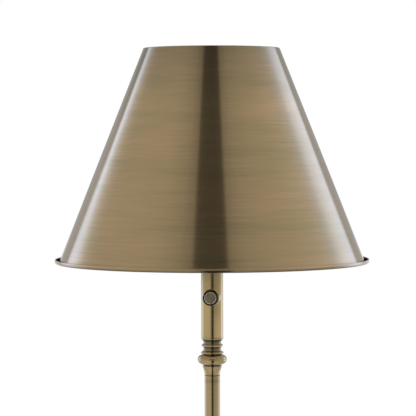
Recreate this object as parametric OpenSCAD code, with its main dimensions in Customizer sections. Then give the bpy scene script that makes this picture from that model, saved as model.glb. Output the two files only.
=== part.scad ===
// A brass floor lamp: a turned pole on a weighted round base, a sleeve with a rotary
// dimmer, and a conical metal shade carried by a harp, a wire spider and a finial.
// Millimetres, +Z up. The origin is on the floor, on the pole's axis. The knob faces -Y.

/* [Overall] */
// Height of the shade's top edge above the floor
lamp_h = 1550; // [1400:10:1700]
// Gap all round between pieces that slide or screw together
slip = 0.1; // [0.05:0.05:0.2]
// Running gap all round the dimmer's shaft
shaft_gap = 0.055; // [0.03:0.005:0.09]

/* [Shade] */
// Diameter across the turned-up rim at the bottom
shade_rim_d = 403; // [360:1:440]
// Diameter of the top edge
shade_top_d = 174; // [160:2:190]
// Height of the shade
shade_h = 275; // [250:1:300]
// Thickness of the shade's sheet
shade_wall = 0.8; // [0.6:0.1:1.2]
// Height of the lip that is turned up round the bottom edge
rim_lip_h = 5.5; // [4.5:0.5:7]
// Thickness of the lip, whose edge is folded over
rim_lip_t = 1.6; // [1.2:0.2:2]
// Width of the gutter between the cone and the lip, at the lip's middle
rim_gutter_w = 4.6; // [3.6:0.2:6]
// Outer radius of the bend under the lip
rim_bend_r = 2.6; // [2:0.2:3]
// Diameter of the inward roll at the top edge
top_roll_d = 3; // [2.4:0.2:4]

/* [Spider] */
// Depth of the washer's top face below the shade's top edge
spider_drop = 30; // [27:1:36]
// Diameter of the hoop's wire
hoop_wire_d = 3.4; // [3.2:0.1:4]
// Diameter of the arms' wire
arm_wire_d = 2.8; // [2.4:0.1:3]
// Number of arms
spider_arms = 3; // [3:1:4]
// Diameter of the washer
spider_washer_d = 23; // [20:1:28]
// Thickness of the washer
spider_washer_t = 2.4; // [1.6:0.2:3]
// Bend radius of the arms
spider_bend_r = 8; // [6:1:10]
// Slope of the arms' rising part, in degrees
spider_slope = 30; // [26:1:40]

/* [Harp] */
// Height from the saddle's seat to the shoulder that carries the shade
harp_h = 228; // [215:1:240]
// Width across the middle of the wire at its widest
harp_w = 112; // [104:1:120]
// Diameter of the wire
harp_wire_d = 4; // [3.6:0.2:4.6]
// Distance between the two legs
harp_leg_w = 54; // [48:1:60]
// Length of the sliding sleeves on the legs
harp_sleeve_l = 18; // [14:1:22]
// Wall of the sliding sleeves
harp_sleeve_wall = 1; // [0.8:0.1:1.4]
// Width of the saddle's strip
saddle_w = 12; // [12:1:15]
// Thickness of the saddle's strip
saddle_t = 1.6; // [1.2:0.2:2]
// Diameter of the stud's screw
stud_d = 6.2; // [5:0.2:7]
// Diameter of the stud's shoulder
stud_shoulder_d = 13; // [11:0.5:15]

/* [Finial] */
// Height of the finial
finial_h = 23; // [20:1:25]
// Diameter of the finial's ball
finial_ball_d = 14; // [12:0.5:16]
// Diameter of the finial's foot
finial_foot_d = 16; // [14:0.5:18]

/* [Bulb and socket] */
// Diameter of the bulb's glass
bulb_d = 60; // [54:1:66]
// Height of the bulb's glass above its screw cap
bulb_glass_h = 82; // [76:1:90]
// Diameter of the bulb's screw cap
bulb_cap_d = 26.4; // [26:0.1:26.6]
// Thickness of the bulb's glass
bulb_wall = 1; // [0.8:0.1:1.4]
// Diameter of the socket's shell
socket_d = 33.4; // [32.8:0.2:36]
// Height of the whole socket
socket_h = 58; // [56:1:62]
// Thickness of the socket's sheet metal
socket_wall = 0.7; // [0.5:0.1:0.9]

/* [Switch sleeve] */
// Outer diameter of the sleeve
sleeve_d = 28.5; // [27.5:0.5:31]
// Wall of the sleeve
sleeve_wall = 1.5; // [1:0.1:1.8]
// Length of the sleeve
sleeve_l = 101.8; // [90:0.2:115]
// Height of the domed cap on the sleeve
sleeve_cap_h = 8; // [6:0.5:9]
// Height of the knob's axis above the sleeve's lower end
knob_rise = 51.6; // [44:0.2:58]

/* [Dimmer] */
// Diameter of the knob
knob_d = 19.5; // [18.5:0.5:21]
// Length of the knob along its axis
knob_l = 8.6; // [8:0.2:11]
// Width of the dark rim round the knob's brass face
knob_rim_w = 1.5; // [1:0.1:1.8]
// Number of grip flutes round the knob
knob_flutes = 36; // [24:1:44]
// Diameter of the brass ring behind the knob
bezel_d = 23.5; // [22:0.5:25]
// Height of that ring above the sleeve, on the knob's axis
bezel_h = 1.75; // [1:0.25:2.5]
// Width of that ring's steep sloping edge, seen along the knob's axis
bezel_slope_w = 1.3; // [0.7:0.1:1.8]
// Diameter of the dimmer's shaft
shaft_d = 6.35; // [6:0.05:6.5]
// Diameter of the threaded bushing round the shaft
bushing_d = 9.5; // [9:0.1:10]
// Width of the bushing's nut across its flats
bushing_nut_af = 12.7; // [12:0.1:13]
// Width of the dimmer's case
case_w = 17; // [15:0.5:17.5]
// Height of the dimmer's case
case_h = 28; // [24:1:32]

/* [Neck] */
// Height of the concave trumpet above the pole
trumpet_h = 12.6; // [10:0.2:15]
// How far the trumpet flares out
trumpet_flare = 3; // [2:0.2:3.6]
// Largest diameter of the ball moulding
ball_d = 37.8; // [34:0.2:42]
// Height of the ball moulding
ball_h = 11.6; // [10:0.2:13]
// Diameter of the flat fillets above and below the ball
fillet_d = 28.8; // [27:0.2:30]
// Height of the fillet under the ball
low_fillet_h = 1.8; // [1.2:0.2:3]
// Height of the fillet above the ball
high_fillet_h = 3.4; // [2.4:0.2:4.4]
// Diameter of the coves between the rings
cove_d = 22.8; // [21:0.2:24]
// Height of the cove under the bead
low_cove_h = 6.6; // [5:0.2:8]
// Height of the bead ring
bead_h = 4.4; // [3.4:0.2:5.4]
// Diameter of the bead ring
bead_d = 28; // [26:0.2:29]
// Height of the cove above the bead
high_cove_h = 3.8; // [3:0.2:5]
// Height of the chamfer under the sleeve
chamfer_h = 3.2; // [2:0.2:4]
// Height of the plain rim between the chamfer and the sleeve
neck_rim_h = 2.1; // [1.4:0.1:3]

/* [Pole] */
// Outer diameter of the pole's tubes
tube_d = 20; // [19:0.5:22]
// Wall of the tubes
tube_wall = 1.5; // [1:0.1:1.6]
// Diameter of the threaded pipe inside
rod_d = 9.8; // [9:0.1:10.2]
// Bore of the threaded pipe
rod_bore = 6.4; // [6:0.1:6.8]
// Length of the spigots inside the tubes
spigot_l = 15; // [10:1:20]
// Width of the pole's nuts across their flats
rod_nut_af = 14; // [13:0.5:14.5]
// Thickness of the pole's nuts
rod_nut_t = 5; // [4:0.5:7]

/* [Base] */
// Diameter of the base
base_d = 280; // [260:5:320]
// Thickness of the base's spun sheet
base_wall = 1.2; // [0.8:0.1:1.6]
// Diameter of the half-round edge
base_edge_d = 16; // [14:1:20]
// Height of the step inside the edge
base_step_h = 2; // [1:0.5:4]
// Width of the ledge between the edge and the dome
base_ledge_w = 7; // [5:0.5:10]
// Rise of the dome over its whole width
base_dome_rise = 13; // [8:1:18]
// Radius of the scotia under the pedestal
base_scotia_r = 16; // [13:1:19]
// Diameter of the pedestal's flat top
base_seat_d = 52; // [46:1:60]
// Diameter of the bead round the scotia's foot
base_bead_d = 8; // [6:0.5:10]
// Thickness of the felt under the base
felt_t = 2; // [1:0.5:3]
// Height of the collar's foot on the pedestal
collar_foot_h = 5; // [3:0.5:7]
// Bore of the bushing where the lead leaves the base
cord_bore_d = 7; // [6:0.5:8]

/* [Hidden] */
$fn = 96;
brass = [0.62, 0.53, 0.36];
bright_brass = [0.78, 0.67, 0.42];
steel = [0.62, 0.62, 0.62];
black = [0.07, 0.07, 0.07];

// Radii
top_roll_r = top_roll_d / 2;
tube_r = tube_d / 2;
tube_bore_r = tube_r - tube_wall;
rod_r = rod_d / 2;
rod_hole_r = rod_r + slip;
sleeve_r = sleeve_d / 2;
sleeve_bore_r = sleeve_r - sleeve_wall;
shaft_r = shaft_d / 2;
bushing_r = bushing_d / 2;
stud_r = stud_d / 2;
base_r = base_d / 2;
base_edge_r = base_edge_d / 2;

// Levels from the shade's top down to the pole
washer_z = lamp_h - spider_drop - spider_washer_t;
saddle_z = washer_z - harp_h;
sleeve_top_z = saddle_z - sleeve_cap_h;
sleeve_z = sleeve_top_z - sleeve_l;
knob_z = sleeve_z + knob_rise;
socket_z = saddle_z + saddle_t;

// Heights inside the neck, from the joint with the pole upwards
fillet_z = trumpet_h;
ball_z = fillet_z + low_fillet_h;
high_fillet_z = ball_z + ball_h;
low_cove_z = high_fillet_z + high_fillet_h;
bead_z = low_cove_z + low_cove_h;
high_cove_z = bead_z + bead_h;
chamfer_z = high_cove_z + high_cove_h;
neck_rim_z = chamfer_z + chamfer_h;
neck_h = neck_rim_z + neck_rim_h;
neck_z = sleeve_z - neck_h;

// Levels from the floor up to the pole
edge_gap = 0.5;
edge_z = felt_t - edge_gap + base_edge_r;
ledge_z = edge_z + base_edge_r;
dome_z = ledge_z + base_step_h;
dome_r = base_r - base_edge_r - base_ledge_w;
dome_sphere_r = (dome_r * dome_r + base_dome_rise * base_dome_rise) / (2 * base_dome_rise);
dome_sphere_z = dome_z + base_dome_rise - dome_sphere_r;
scotia_foot_r = base_seat_d / 2 + base_scotia_r;
scotia_foot_z = round(10 * dome_height(scotia_foot_r)) / 10;
seat_z = scotia_foot_z + base_scotia_r;
collar_z = seat_z + collar_foot_h;
pole_z = collar_z + low_cove_h + low_cove_z;
pole_l = neck_z - pole_z;
seam_z = round(pole_z + pole_l / 2);

// The dome's height at a distance from the axis
function dome_height(r) = dome_sphere_z + sqrt(dome_sphere_r * dome_sphere_r - r * r);

// The shade's cone: its outer line runs from the top edge to the lip's middle height
rim_z = lamp_h - shade_h + rim_lip_h / 2;
rim_r = shade_rim_d / 2;
cone_top_r = shade_top_d / 2;
cone_foot_r = rim_r - rim_lip_t - rim_gutter_w;
cone_slope = (cone_foot_r - cone_top_r) / (lamp_h - rim_z);
cone_wall = shade_wall * sqrt(1 + cone_slope * cone_slope);
function cone_r(z) = cone_top_r + (lamp_h - z) * cone_slope;

// A part turned about the pole's axis
module turned(z = 0) translate([0, 0, z]) rotate_extrude() children();

// A part built along +Z from the pole's axis, then laid along the knob's axis
module along_knob() translate([0, 0, knob_z]) rotate([90, 0, 0]) children();

// A rectangle of a turned profile, between two radii and two heights
module band(r0, r1, z0, z1) translate([r0, z0]) square([r1 - r0, z1 - z0]);

// A round of a turned profile
module round_at(r, z, radius) translate([r, z]) circle(radius);

module hex_prism(af, h) cylinder(d = af / cos(30), h = h, $fn = 6);

module hex_nut(af, h, bore_r) difference() {
    hex_prism(af, h);
    translate([0, 0, -1]) cylinder(r = bore_r, h = h + 2);
}

module washer(r, h, bore_r) difference() {
    cylinder(r = r, h = h);
    translate([0, 0, -1]) cylinder(r = bore_r, h = h + 2);
}

module pipe(r, bore_r, l) washer(r, l, bore_r);

// A wire bent in the XZ plane: each step is a straight run, then a bend of a radius
// and an angle. A positive angle turns the wire towards +X. It starts up along +Z.
module bent_wire(steps, d, i = 0) {
    run = steps[i][0];
    bend_r = steps[i][1];
    angle = steps[i][2];
    side = angle < 0 ? -1 : 1;
    cylinder(d = d, h = run);
    if (i > 0) wire_joint(d);
    translate([0, 0, run])
        if (angle != 0) {
            wire_joint(d);
            mirror([side < 0 ? 1 : 0, 0, 0])
                translate([bend_r, 0, 0]) rotate([90, 0, 180])
                    rotate_extrude(angle = abs(angle)) translate([bend_r, 0]) circle(d = d);
            translate([side * bend_r * (1 - cos(angle)), 0, bend_r * sin(abs(angle))])
                rotate([0, angle, 0])
                    if (i + 1 < len(steps)) bent_wire(steps, d, i + 1);
                    else wire_joint(d);
        }
}

// A hair-thick ring that closes the seam between a run and a bend
module wire_joint(d) translate([0, 0, -0.25]) cylinder(d = d + 0.06, h = 0.5);

// Shade and what holds it

// The gutter under the shade: a floor, a bend and the lip with its folded edge
module rim_gutter(foot_z) {
    gutter_r = rim_r - rim_lip_t;
    curve_r = min(1.4, rim_gutter_w / 3);
    curve_z = foot_z + shade_wall + curve_r;
    difference() {
        union() {
            band(cone_r(foot_z) - cone_wall, rim_r - rim_bend_r, foot_z, foot_z + rim_bend_r);
            round_at(rim_r - rim_bend_r, foot_z + rim_bend_r, rim_bend_r);
        }
        band(0, gutter_r - curve_r, foot_z + shade_wall, foot_z + 2 * rim_lip_h);
        band(0, gutter_r, curve_z, foot_z + 2 * rim_lip_h);
        round_at(gutter_r - curve_r, curve_z, curve_r);
    }
    band(gutter_r, rim_r, foot_z + rim_bend_r, foot_z + rim_lip_h - rim_lip_t / 2);
    round_at(rim_r - rim_lip_t / 2, foot_z + rim_lip_h - rim_lip_t / 2, rim_lip_t / 2);
}

module shade() color(brass) turned() {
    foot_z = lamp_h - shade_h;
    difference() {
        polygon([
            [cone_r(foot_z), foot_z], [cone_top_r, lamp_h],
            [cone_top_r - cone_wall, lamp_h], [cone_r(foot_z) - cone_wall, foot_z]
        ]);
        band(0, shade_rim_d, lamp_h - top_roll_r, lamp_h + 1);
    }
    rim_gutter(foot_z);
    round_at(cone_r(lamp_h - top_roll_r) - top_roll_r, lamp_h - top_roll_r, top_roll_r);
}

hoop_z = lamp_h - top_roll_d - hoop_wire_d / 2 - slip;
hoop_r = cone_r(hoop_z) - cone_wall - (hoop_wire_d / 2) * cone_wall / shade_wall - slip;
arm_z = washer_z + spider_washer_t / 2;
arm_start_r = spider_washer_d / 2 - 3;
arm_flat = 8;
arm_slope_l = (hoop_z - arm_z - 2 * spider_bend_r * (1 - cos(spider_slope))) / sin(spider_slope);
arm_end = hoop_r - arm_start_r - arm_flat - 2 * spider_bend_r * sin(spider_slope)
    - arm_slope_l * cos(spider_slope);

module shade_spider() color(brass) {
    turned() round_at(hoop_r, hoop_z, hoop_wire_d / 2);
    translate([0, 0, washer_z]) washer(spider_washer_d / 2, spider_washer_t, stud_r + slip);
    for (k = [0:spider_arms - 1])
        rotate([0, 0, 90 + k * 360 / spider_arms])
            translate([arm_start_r, 0, arm_z]) rotate([0, 90, 0])
                bent_wire([
                    [arm_flat, spider_bend_r, -spider_slope],
                    [arm_slope_l, spider_bend_r, spider_slope],
                    [arm_end, 0, 0]
                ], arm_wire_d);
}

module finial() color(brass) turned(washer_z + spider_washer_t) {
    foot_r = finial_foot_d / 2;
    ball_r = finial_ball_d / 2;
    foot_h = 3;
    neck_r = stud_r + 2;
    difference() {
        union() {
            band(0, foot_r - foot_h / 2, 0, foot_h);
            round_at(foot_r - foot_h / 2, foot_h / 2, foot_h / 2);
            band(0, neck_r, 0, finial_h - ball_r);
            intersection() {
                round_at(0, finial_h - ball_r, ball_r);
                band(0, ball_r, 0, finial_h);
            }
        }
        band(0, stud_r + slip, -1, stud_l + 1);
    }
}

stud_l = min(finial_h - finial_ball_d / 2, 14) + spider_washer_t;
wire_top_z = washer_z - 1.6 - harp_wire_d / 2;

module harp_stud() color(bright_brass) difference() {
    union() {
        translate([0, 0, wire_top_z - harp_wire_d / 2 - 1.4])
            cylinder(d = stud_shoulder_d, h = washer_z - wire_top_z + harp_wire_d / 2 + 1.4);
        translate([0, 0, washer_z - 1]) cylinder(r = stud_r, h = stud_l + 1);
    }
    translate([-stud_shoulder_d, 0, wire_top_z]) rotate([0, 90, 0])
        cylinder(r = harp_wire_d / 2 + slip, h = 2 * stud_shoulder_d);
}

saddle_bend_r = 5;
tang_w = 3.4;
tang_z = saddle_z + 16;
leg_z = tang_z;
harp_sleeve_bore_r = harp_wire_d / 2 + 2 * slip;

// Bends of one half of the harp, from its leg up to the middle of its top
harp_out = 25;
harp_in = 14;
harp_foot_r = 25;
harp_side_r = 120;
harp_top_r = 26;
harp_leg_run = harp_sleeve_l / 2 + 10;
harp_out_run = (harp_w / 2 - harp_leg_w / 2
    - (harp_foot_r + harp_side_r) * (1 - cos(harp_out))) / sin(harp_out);
harp_in_run = (wire_top_z - leg_z - harp_leg_run - harp_foot_r * sin(harp_out)
    - harp_out_run * cos(harp_out) - harp_side_r * (sin(harp_out) + sin(harp_in))
    - harp_top_r * (1 - sin(harp_in))) / cos(harp_in);
harp_top_run = harp_w / 2 - harp_side_r * (1 - cos(harp_in)) - harp_in_run * sin(harp_in)
    - harp_top_r * cos(harp_in);

module harp_wire() color(brass) {
    translate([-harp_top_run, 0, wire_top_z]) rotate([0, 90, 0])
        cylinder(d = harp_wire_d, h = 2 * harp_top_run);
    for (side = [0, 1])
        mirror([side, 0, 0])
            translate([harp_leg_w / 2, 0, leg_z])
                bent_wire([
                    [harp_leg_run, harp_foot_r, harp_out],
                    [harp_out_run, harp_side_r, -harp_out - harp_in],
                    [harp_in_run, harp_top_r, harp_in - 90]
                ], harp_wire_d);
}

module harp_sleeves() color(bright_brass)
    for (side = [-1, 1])
        translate([side * harp_leg_w / 2, 0, tang_z - harp_sleeve_l / 2])
            pipe(harp_sleeve_bore_r + harp_sleeve_wall, harp_sleeve_bore_r, harp_sleeve_l);

module harp_saddle() color(brass) difference() {
    union() {
        leg_in = harp_leg_w / 2 - saddle_t / 2;
        translate([-leg_in + saddle_bend_r, -saddle_w / 2, saddle_z])
            cube([2 * (leg_in - saddle_bend_r), saddle_w, saddle_t]);
        for (side = [0, 1])
            mirror([side, 0, 0]) {
                translate([leg_in - saddle_bend_r, saddle_w / 2, saddle_z + saddle_t + saddle_bend_r])
                    rotate([90, 0, 0]) rotate([0, 0, -90]) rotate_extrude(angle = 90)
                        translate([saddle_bend_r, 0]) square([saddle_t, saddle_w]);
                translate([leg_in, -saddle_w / 2, saddle_z + saddle_t + saddle_bend_r])
                    cube([saddle_t, saddle_w, tang_z - harp_sleeve_l / 2 - slip - saddle_z - saddle_t
                        - saddle_bend_r]);
                translate([leg_in, -tang_w / 2, saddle_z + saddle_t + saddle_bend_r])
                    cube([saddle_t, tang_w, leg_z - slip - saddle_z - saddle_t - saddle_bend_r]);
            }
    }
    translate([0, 0, saddle_z - 1]) cylinder(r = rod_hole_r, h = saddle_t + 2);
}

// Socket and bulb, upwards from the saddle

socket_r = socket_d / 2;
socket_cap_h = 22;
socket_cap_r = socket_r + slip + socket_wall;
liner_t = 0.6;
liner_r = socket_r - socket_wall - slip;
core_r = liner_r - liner_t - slip;
core_z = 14;
core_h = 12;
screw_shell_t = 0.4;
screw_shell_bore_r = bulb_cap_d / 2 + 4 * slip;
contact_t = 0.6;
bulb_tip_z = core_z + core_h + screw_shell_t + 2 * contact_t + 2 * slip;
bulb_cap_h = 24;
bulb_cap_z = bulb_tip_z + 2.6;

module socket_cap() color(brass) turned(socket_z) {
    bowl_r = 12;
    bowl_z = bowl_r + 2;
    difference() {
        union() {
            band(0, rod_r + 3.6, 0, bowl_z - bowl_r + 3);
            intersection() {
                union() {
                    round_at(socket_cap_r - bowl_r, bowl_z, bowl_r);
                    band(0, socket_cap_r - bowl_r, bowl_z - bowl_r, bowl_z);
                }
                band(0, socket_cap_r, 0, bowl_z);
            }
            band(0, socket_cap_r, bowl_z, socket_cap_h);
        }
        difference() {
            union() {
                round_at(socket_cap_r - bowl_r, bowl_z, bowl_r - socket_wall);
                band(0, socket_cap_r - bowl_r, bowl_z - bowl_r + socket_wall, socket_cap_h + 1);
                band(0, socket_cap_r - socket_wall, bowl_z, socket_cap_h + 1);
            }
            band(0, rod_r + 3.6, -1, bowl_z - bowl_r + 3);
        }
        band(0, rod_hole_r, -1, socket_cap_h + 1);
    }
}

module socket_shell() color(brass) turned(socket_z) {
    lip_r = 0.8;
    difference() {
        union() {
            band(socket_r - socket_wall, socket_r, core_z + 3, socket_h - lip_r);
            round_at(socket_r - socket_wall / 2, socket_cap_h + 3, 1);
            round_at(socket_r - lip_r, socket_h - lip_r, lip_r);
        }
        band(0, socket_r - socket_wall, socket_cap_h, socket_cap_h + 6);
    }
}

module socket_liner() color([0.75, 0.66, 0.5])
    translate([0, 0, socket_z + core_z + 3])
        pipe(liner_r, liner_r - liner_t, socket_h - core_z - 3 - 2);

module socket_core() color([0.12, 0.1, 0.09]) difference() {
    translate([0, 0, socket_z + core_z]) cylinder(r = core_r, h = core_h);
    for (side = [0, 1])
        mirror([0, side, 0])
            translate([-core_r, core_r - 4, socket_z + core_z - 1]) cube([2 * core_r, 5, core_h - 2]);
    for (x = [-1, 1])
        translate([x * wire_gap, 0, socket_z + core_z - 1]) cylinder(r = wire_r + slip, h = 5);
    for (side = [0, 1])
        mirror([0, side, 0])
            translate([0, core_r - 8, socket_z + core_z + 5]) rotate([-90, 0, 0])
                cylinder(r = 1.5 + slip, h = 6);
}

module terminal_screws() color(bright_brass)
    for (side = [0, 1])
        mirror([0, side, 0])
            translate([0, core_r - 8 + slip, socket_z + core_z + 5]) rotate([-90, 0, 0]) {
                cylinder(r = 1.5, h = 4);
                difference() {
                    translate([0, 0, 4]) cylinder(r = 2.8, h = 1.6);
                    translate([-3, -0.4, 5]) cube([6, 0.8, 1]);
                }
            }

module screw_shell() color(bright_brass) turned(socket_z + core_z + core_h) {
    top_h = socket_h - core_z - core_h - 4;
    band(screw_shell_bore_r, screw_shell_bore_r + screw_shell_t, 0, top_h);
    band(6, screw_shell_bore_r + screw_shell_t, 0, screw_shell_t);
}

module centre_contact() color(bright_brass) {
    translate([0, 0, socket_z + core_z + core_h]) {
        cylinder(r = 4.5, h = contact_t);
        cylinder(r = 2.6, h = screw_shell_t + 2 * contact_t);
    }
}

module bulb_contact() color([0.1, 0.1, 0.11]) turned(socket_z + bulb_tip_z)
    polygon([[0, 0], [3.6, 0], [4.6, 0.8], [9.5, 2.6 - slip], [0, 2.6 - slip]]);

module bulb_cap() color([0.75, 0.75, 0.76]) turned(socket_z + bulb_cap_z) {
    cap_r = bulb_cap_d / 2;
    difference() {
        union() {
            polygon([[0, 0], [9.6, 0], [cap_r - 0.6, 4], [cap_r - 0.6, bulb_cap_h], [0, bulb_cap_h]]);
            for (k = [0:4])
                intersection() {
                    round_at(cap_r - 1, 5.4 + k * 3.6, 1);
                    band(cap_r - 1, cap_r, 0, bulb_cap_h);
                }
        }
        polygon([[0, 0.8], [9.2, 0.8], [cap_r - 1.2, 4.4], [cap_r - 1.2, bulb_cap_h + 1], [0, bulb_cap_h + 1]]);
    }
}

bulb_r = bulb_d / 2;
bulb_neck_r = bulb_cap_d / 2 - 1.2 - slip;
bulb_ball_z = bulb_glass_h - bulb_r;
// Concave curve that runs tangent from the neck into the ball
bulb_curve_r = (bulb_ball_z * bulb_ball_z + bulb_neck_r * bulb_neck_r - bulb_r * bulb_r)
    / (2 * (bulb_r - bulb_neck_r));
bulb_touch_r = bulb_r * (bulb_neck_r + bulb_curve_r) / (bulb_r + bulb_curve_r);
bulb_touch_z = bulb_ball_z - bulb_r * bulb_ball_z / (bulb_r + bulb_curve_r);

module bulb_outline(inset) {
    intersection() {
        round_at(0, bulb_ball_z, bulb_r - inset);
        band(0, bulb_d, 0, bulb_d * 2);
    }
    band(0, bulb_neck_r - inset, -6, 0.01);
    difference() {
        polygon([[0, 0], [bulb_touch_r, 0],
            [bulb_touch_r, bulb_touch_z], [0, bulb_ball_z]]);
        round_at(bulb_neck_r + bulb_curve_r, 0, bulb_curve_r + inset);
    }
}

module bulb_glass() color([0.95, 0.94, 0.9]) turned(socket_z + bulb_cap_z + bulb_cap_h)
    difference() {
        bulb_outline(0);
        difference() {
            bulb_outline(bulb_wall);
            band(0, bulb_d, -7, -6 + bulb_wall);
        }
    }

// Switch sleeve and its cap

sleeve_plug_h = 8;
nipple_z = sleeve_top_z - sleeve_plug_h - rod_nut_t - 2;
wire_r = 1.1;
wire_gap = wire_r + 2 * slip;

module top_nipple() color(steel) translate([0, 0, nipple_z])
    pipe(rod_r, rod_bore / 2, socket_z + 8 - nipple_z);

module cap_nut() color(steel) translate([0, 0, sleeve_top_z - sleeve_plug_h - rod_nut_t])
    hex_nut(rod_nut_af, rod_nut_t, rod_hole_r);

module sleeve_cap() color(brass) turned(sleeve_top_z) {
    dome_w = sleeve_r - saddle_w / 2 - 2;
    rim_h = 1.6;
    dome_rise = sleeve_cap_h - rim_h;
    difference() {
        union() {
            band(0, sleeve_bore_r - slip, -sleeve_plug_h, 0);
            band(0, sleeve_r, 0, rim_h);
            band(0, sleeve_r - dome_rise, 0, sleeve_cap_h);
            intersection() {
                round_at(sleeve_r - dome_rise, rim_h, dome_rise);
                band(0, sleeve_r, 0, sleeve_cap_h);
            }
        }
        band(0, rod_hole_r, -sleeve_plug_h - 1, sleeve_cap_h + 1);
    }
}

module switch_sleeve() color(brass) difference() {
    translate([0, 0, sleeve_z]) pipe(sleeve_r, sleeve_bore_r, sleeve_l);
    along_knob() cylinder(r = bushing_r + slip, h = sleeve_d);
}

module socket_lead() color([0.85, 0.84, 0.8])
    for (x = [-1, 1])
        translate([x * wire_gap, 0, knob_z + case_h / 2])
            cylinder(r = wire_r, h = socket_z + core_z + 3 - knob_z - case_h / 2);

// Dimmer, built along its axis from the middle of the sleeve outwards

case_corner_r = 1.5;
case_front = sqrt(pow(sleeve_bore_r - slip, 2) - pow(case_w / 2, 2));
case_back = case_front - 1.6;
bezel_front = sleeve_r + bezel_h;
lock_washer_t = 0.6;
bushing_nut_t = 2;
bushing_end = bezel_front + lock_washer_t + bushing_nut_t + 0.4;
knob_back = bezel_front + 0.4;
knob_front = knob_back + knob_l;
cavity_end = bushing_end + 0.4;
cavity_r = bushing_nut_af / cos(30) / 2 + 0.5;
inlay_depth = 1.2;
inlay_r = knob_d / 2 - knob_rim_w;
shaft_end = knob_front - inlay_depth - 1;
shaft_start = 4;
flat_depth = 0.8;
screw_at = (cavity_end + shaft_end) / 2;
screw_r = 1.2;

module rounded_block(w, d, r) {
    square([w - 2 * r, d], center = true);
    square([w, d - 2 * r], center = true);
    for (x = [-1, 1], y = [-1, 1])
        translate([x * (w / 2 - r), y * (d / 2 - r)]) circle(r);
}

module dimmer_case() color(black) difference() {
    translate([0, -(case_front - case_back) / 2, knob_z - case_h / 2])
        linear_extrude(case_h) rounded_block(case_w, case_front + case_back, case_corner_r);
    along_knob() translate([0, 0, shaft_start - slip])
        cylinder(r = shaft_r + slip, h = sleeve_d);
}

module dimmer_bushing() color(steel) along_knob()
    translate([0, 0, case_front]) pipe(bushing_r, shaft_r + shaft_gap, bushing_end - case_front);

module dimmer_bezel() color(brass) difference() {
    slope_z = bezel_front - sqrt(3) * bezel_slope_w;
    along_knob() rotate_extrude()
        polygon([
            [bushing_r + slip, 0], [bezel_d / 2, 0], [bezel_d / 2, slope_z],
            [bezel_d / 2 - bezel_slope_w, bezel_front], [bushing_r + slip, bezel_front]
        ]);
    translate([0, 0, knob_z - bezel_d]) cylinder(r = sleeve_r + slip / 2, h = 2 * bezel_d);
}

module dimmer_washer() color(steel) along_knob()
    translate([0, 0, bezel_front]) washer(bushing_nut_af / 2, lock_washer_t, bushing_r + slip);

module dimmer_nut() color(steel) along_knob()
    translate([0, 0, bezel_front + lock_washer_t])
        hex_nut(bushing_nut_af, bushing_nut_t, bushing_r + slip);

module dimmer_shaft() color(steel) along_knob() difference() {
    translate([0, 0, shaft_start]) cylinder(r = shaft_r, h = shaft_end - shaft_start);
    translate([-shaft_d, -shaft_d - shaft_r + flat_depth, cavity_end])
        cube([2 * shaft_d, shaft_d, knob_l]);
}

module dimmer_knob() color(black) along_knob() difference() {
    edge = 0.8;
    flute_r = PI * knob_d / knob_flutes / 4;
    intersection() {
        translate([0, 0, knob_back]) linear_extrude(knob_l) difference() {
            circle(d = knob_d);
            for (k = [0:knob_flutes - 1])
                rotate(k * 360 / knob_flutes) translate([knob_d / 2, 0]) circle(flute_r, $fn = 24);
        }
        rotate_extrude() union() {
            band(0, knob_d / 2 - edge, knob_back, knob_front);
            band(0, knob_d / 2, knob_back, knob_front - edge);
            round_at(knob_d / 2 - edge, knob_front - edge, edge);
        }
    }
    translate([0, 0, knob_back - 1]) cylinder(r = cavity_r, h = cavity_end - knob_back + 1);
    cylinder(r = shaft_r + slip / 2, h = shaft_end + 0.2);
    translate([0, 0, knob_front - inlay_depth]) cylinder(r = inlay_r, h = inlay_depth + 1);
    translate([0, 0, screw_at]) rotate([90, 0, 0]) cylinder(r = screw_r + slip, h = knob_d);
}

module knob_inlay() color(brass) along_knob() rotate_extrude()
    polygon([
        [0, knob_front - inlay_depth], [inlay_r - slip, knob_front - inlay_depth],
        [inlay_r - slip, knob_front], [inlay_r - 0.5, knob_front + 0.4],
        [inlay_r - 2, knob_front - 0.3], [0, knob_front - 0.3]
    ]);

module knob_screw() color(steel) along_knob()
    translate([0, 0, screw_at]) rotate([90, 0, 0]) difference() {
        screw_l = knob_d / 2 - 1 - shaft_r + flat_depth;
        translate([0, 0, shaft_r - flat_depth + slip]) cylinder(r = screw_r, h = screw_l - slip);
        translate([0, 0, knob_d / 2 - 2]) hex_prism(1.3, 3);
    }

// Neck, pole and collar

// A round ring moulding of a turned profile, from the axis out
module ring_moulding(d, z, h) {
    band(0, d / 2 - h / 2, z, z + h);
    round_at(d / 2 - h / 2, z + h / 2, h / 2);
}

// A fillet whose upper half slopes in to the cove above it
module top_fillet(z, h) polygon([
    [0, z], [fillet_d / 2, z], [fillet_d / 2, z + h * 0.62], [cove_d / 2, z + h], [0, z + h]
]);

// Trumpet, fillet, ball and fillet, upwards from the end of a tube
module ball_stack() {
    groove = 0.4;
    trumpet_r = (trumpet_h * trumpet_h + trumpet_flare * trumpet_flare) / (2 * trumpet_flare);
    difference() {
        band(0, tube_r + trumpet_flare, 0, fillet_z - groove);
        round_at(tube_r + trumpet_r, 0, trumpet_r);
    }
    band(0, tube_r + trumpet_flare - 1, fillet_z - groove - 1, fillet_z);
    band(0, fillet_d / 2, fillet_z, ball_z);
    band(0, fillet_d / 2 - 1, ball_z - 0.5, ball_z + ball_h + 0.5);
    ring_moulding(ball_d, ball_z, ball_h);
    top_fillet(high_fillet_z, high_fillet_h);
}

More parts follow.
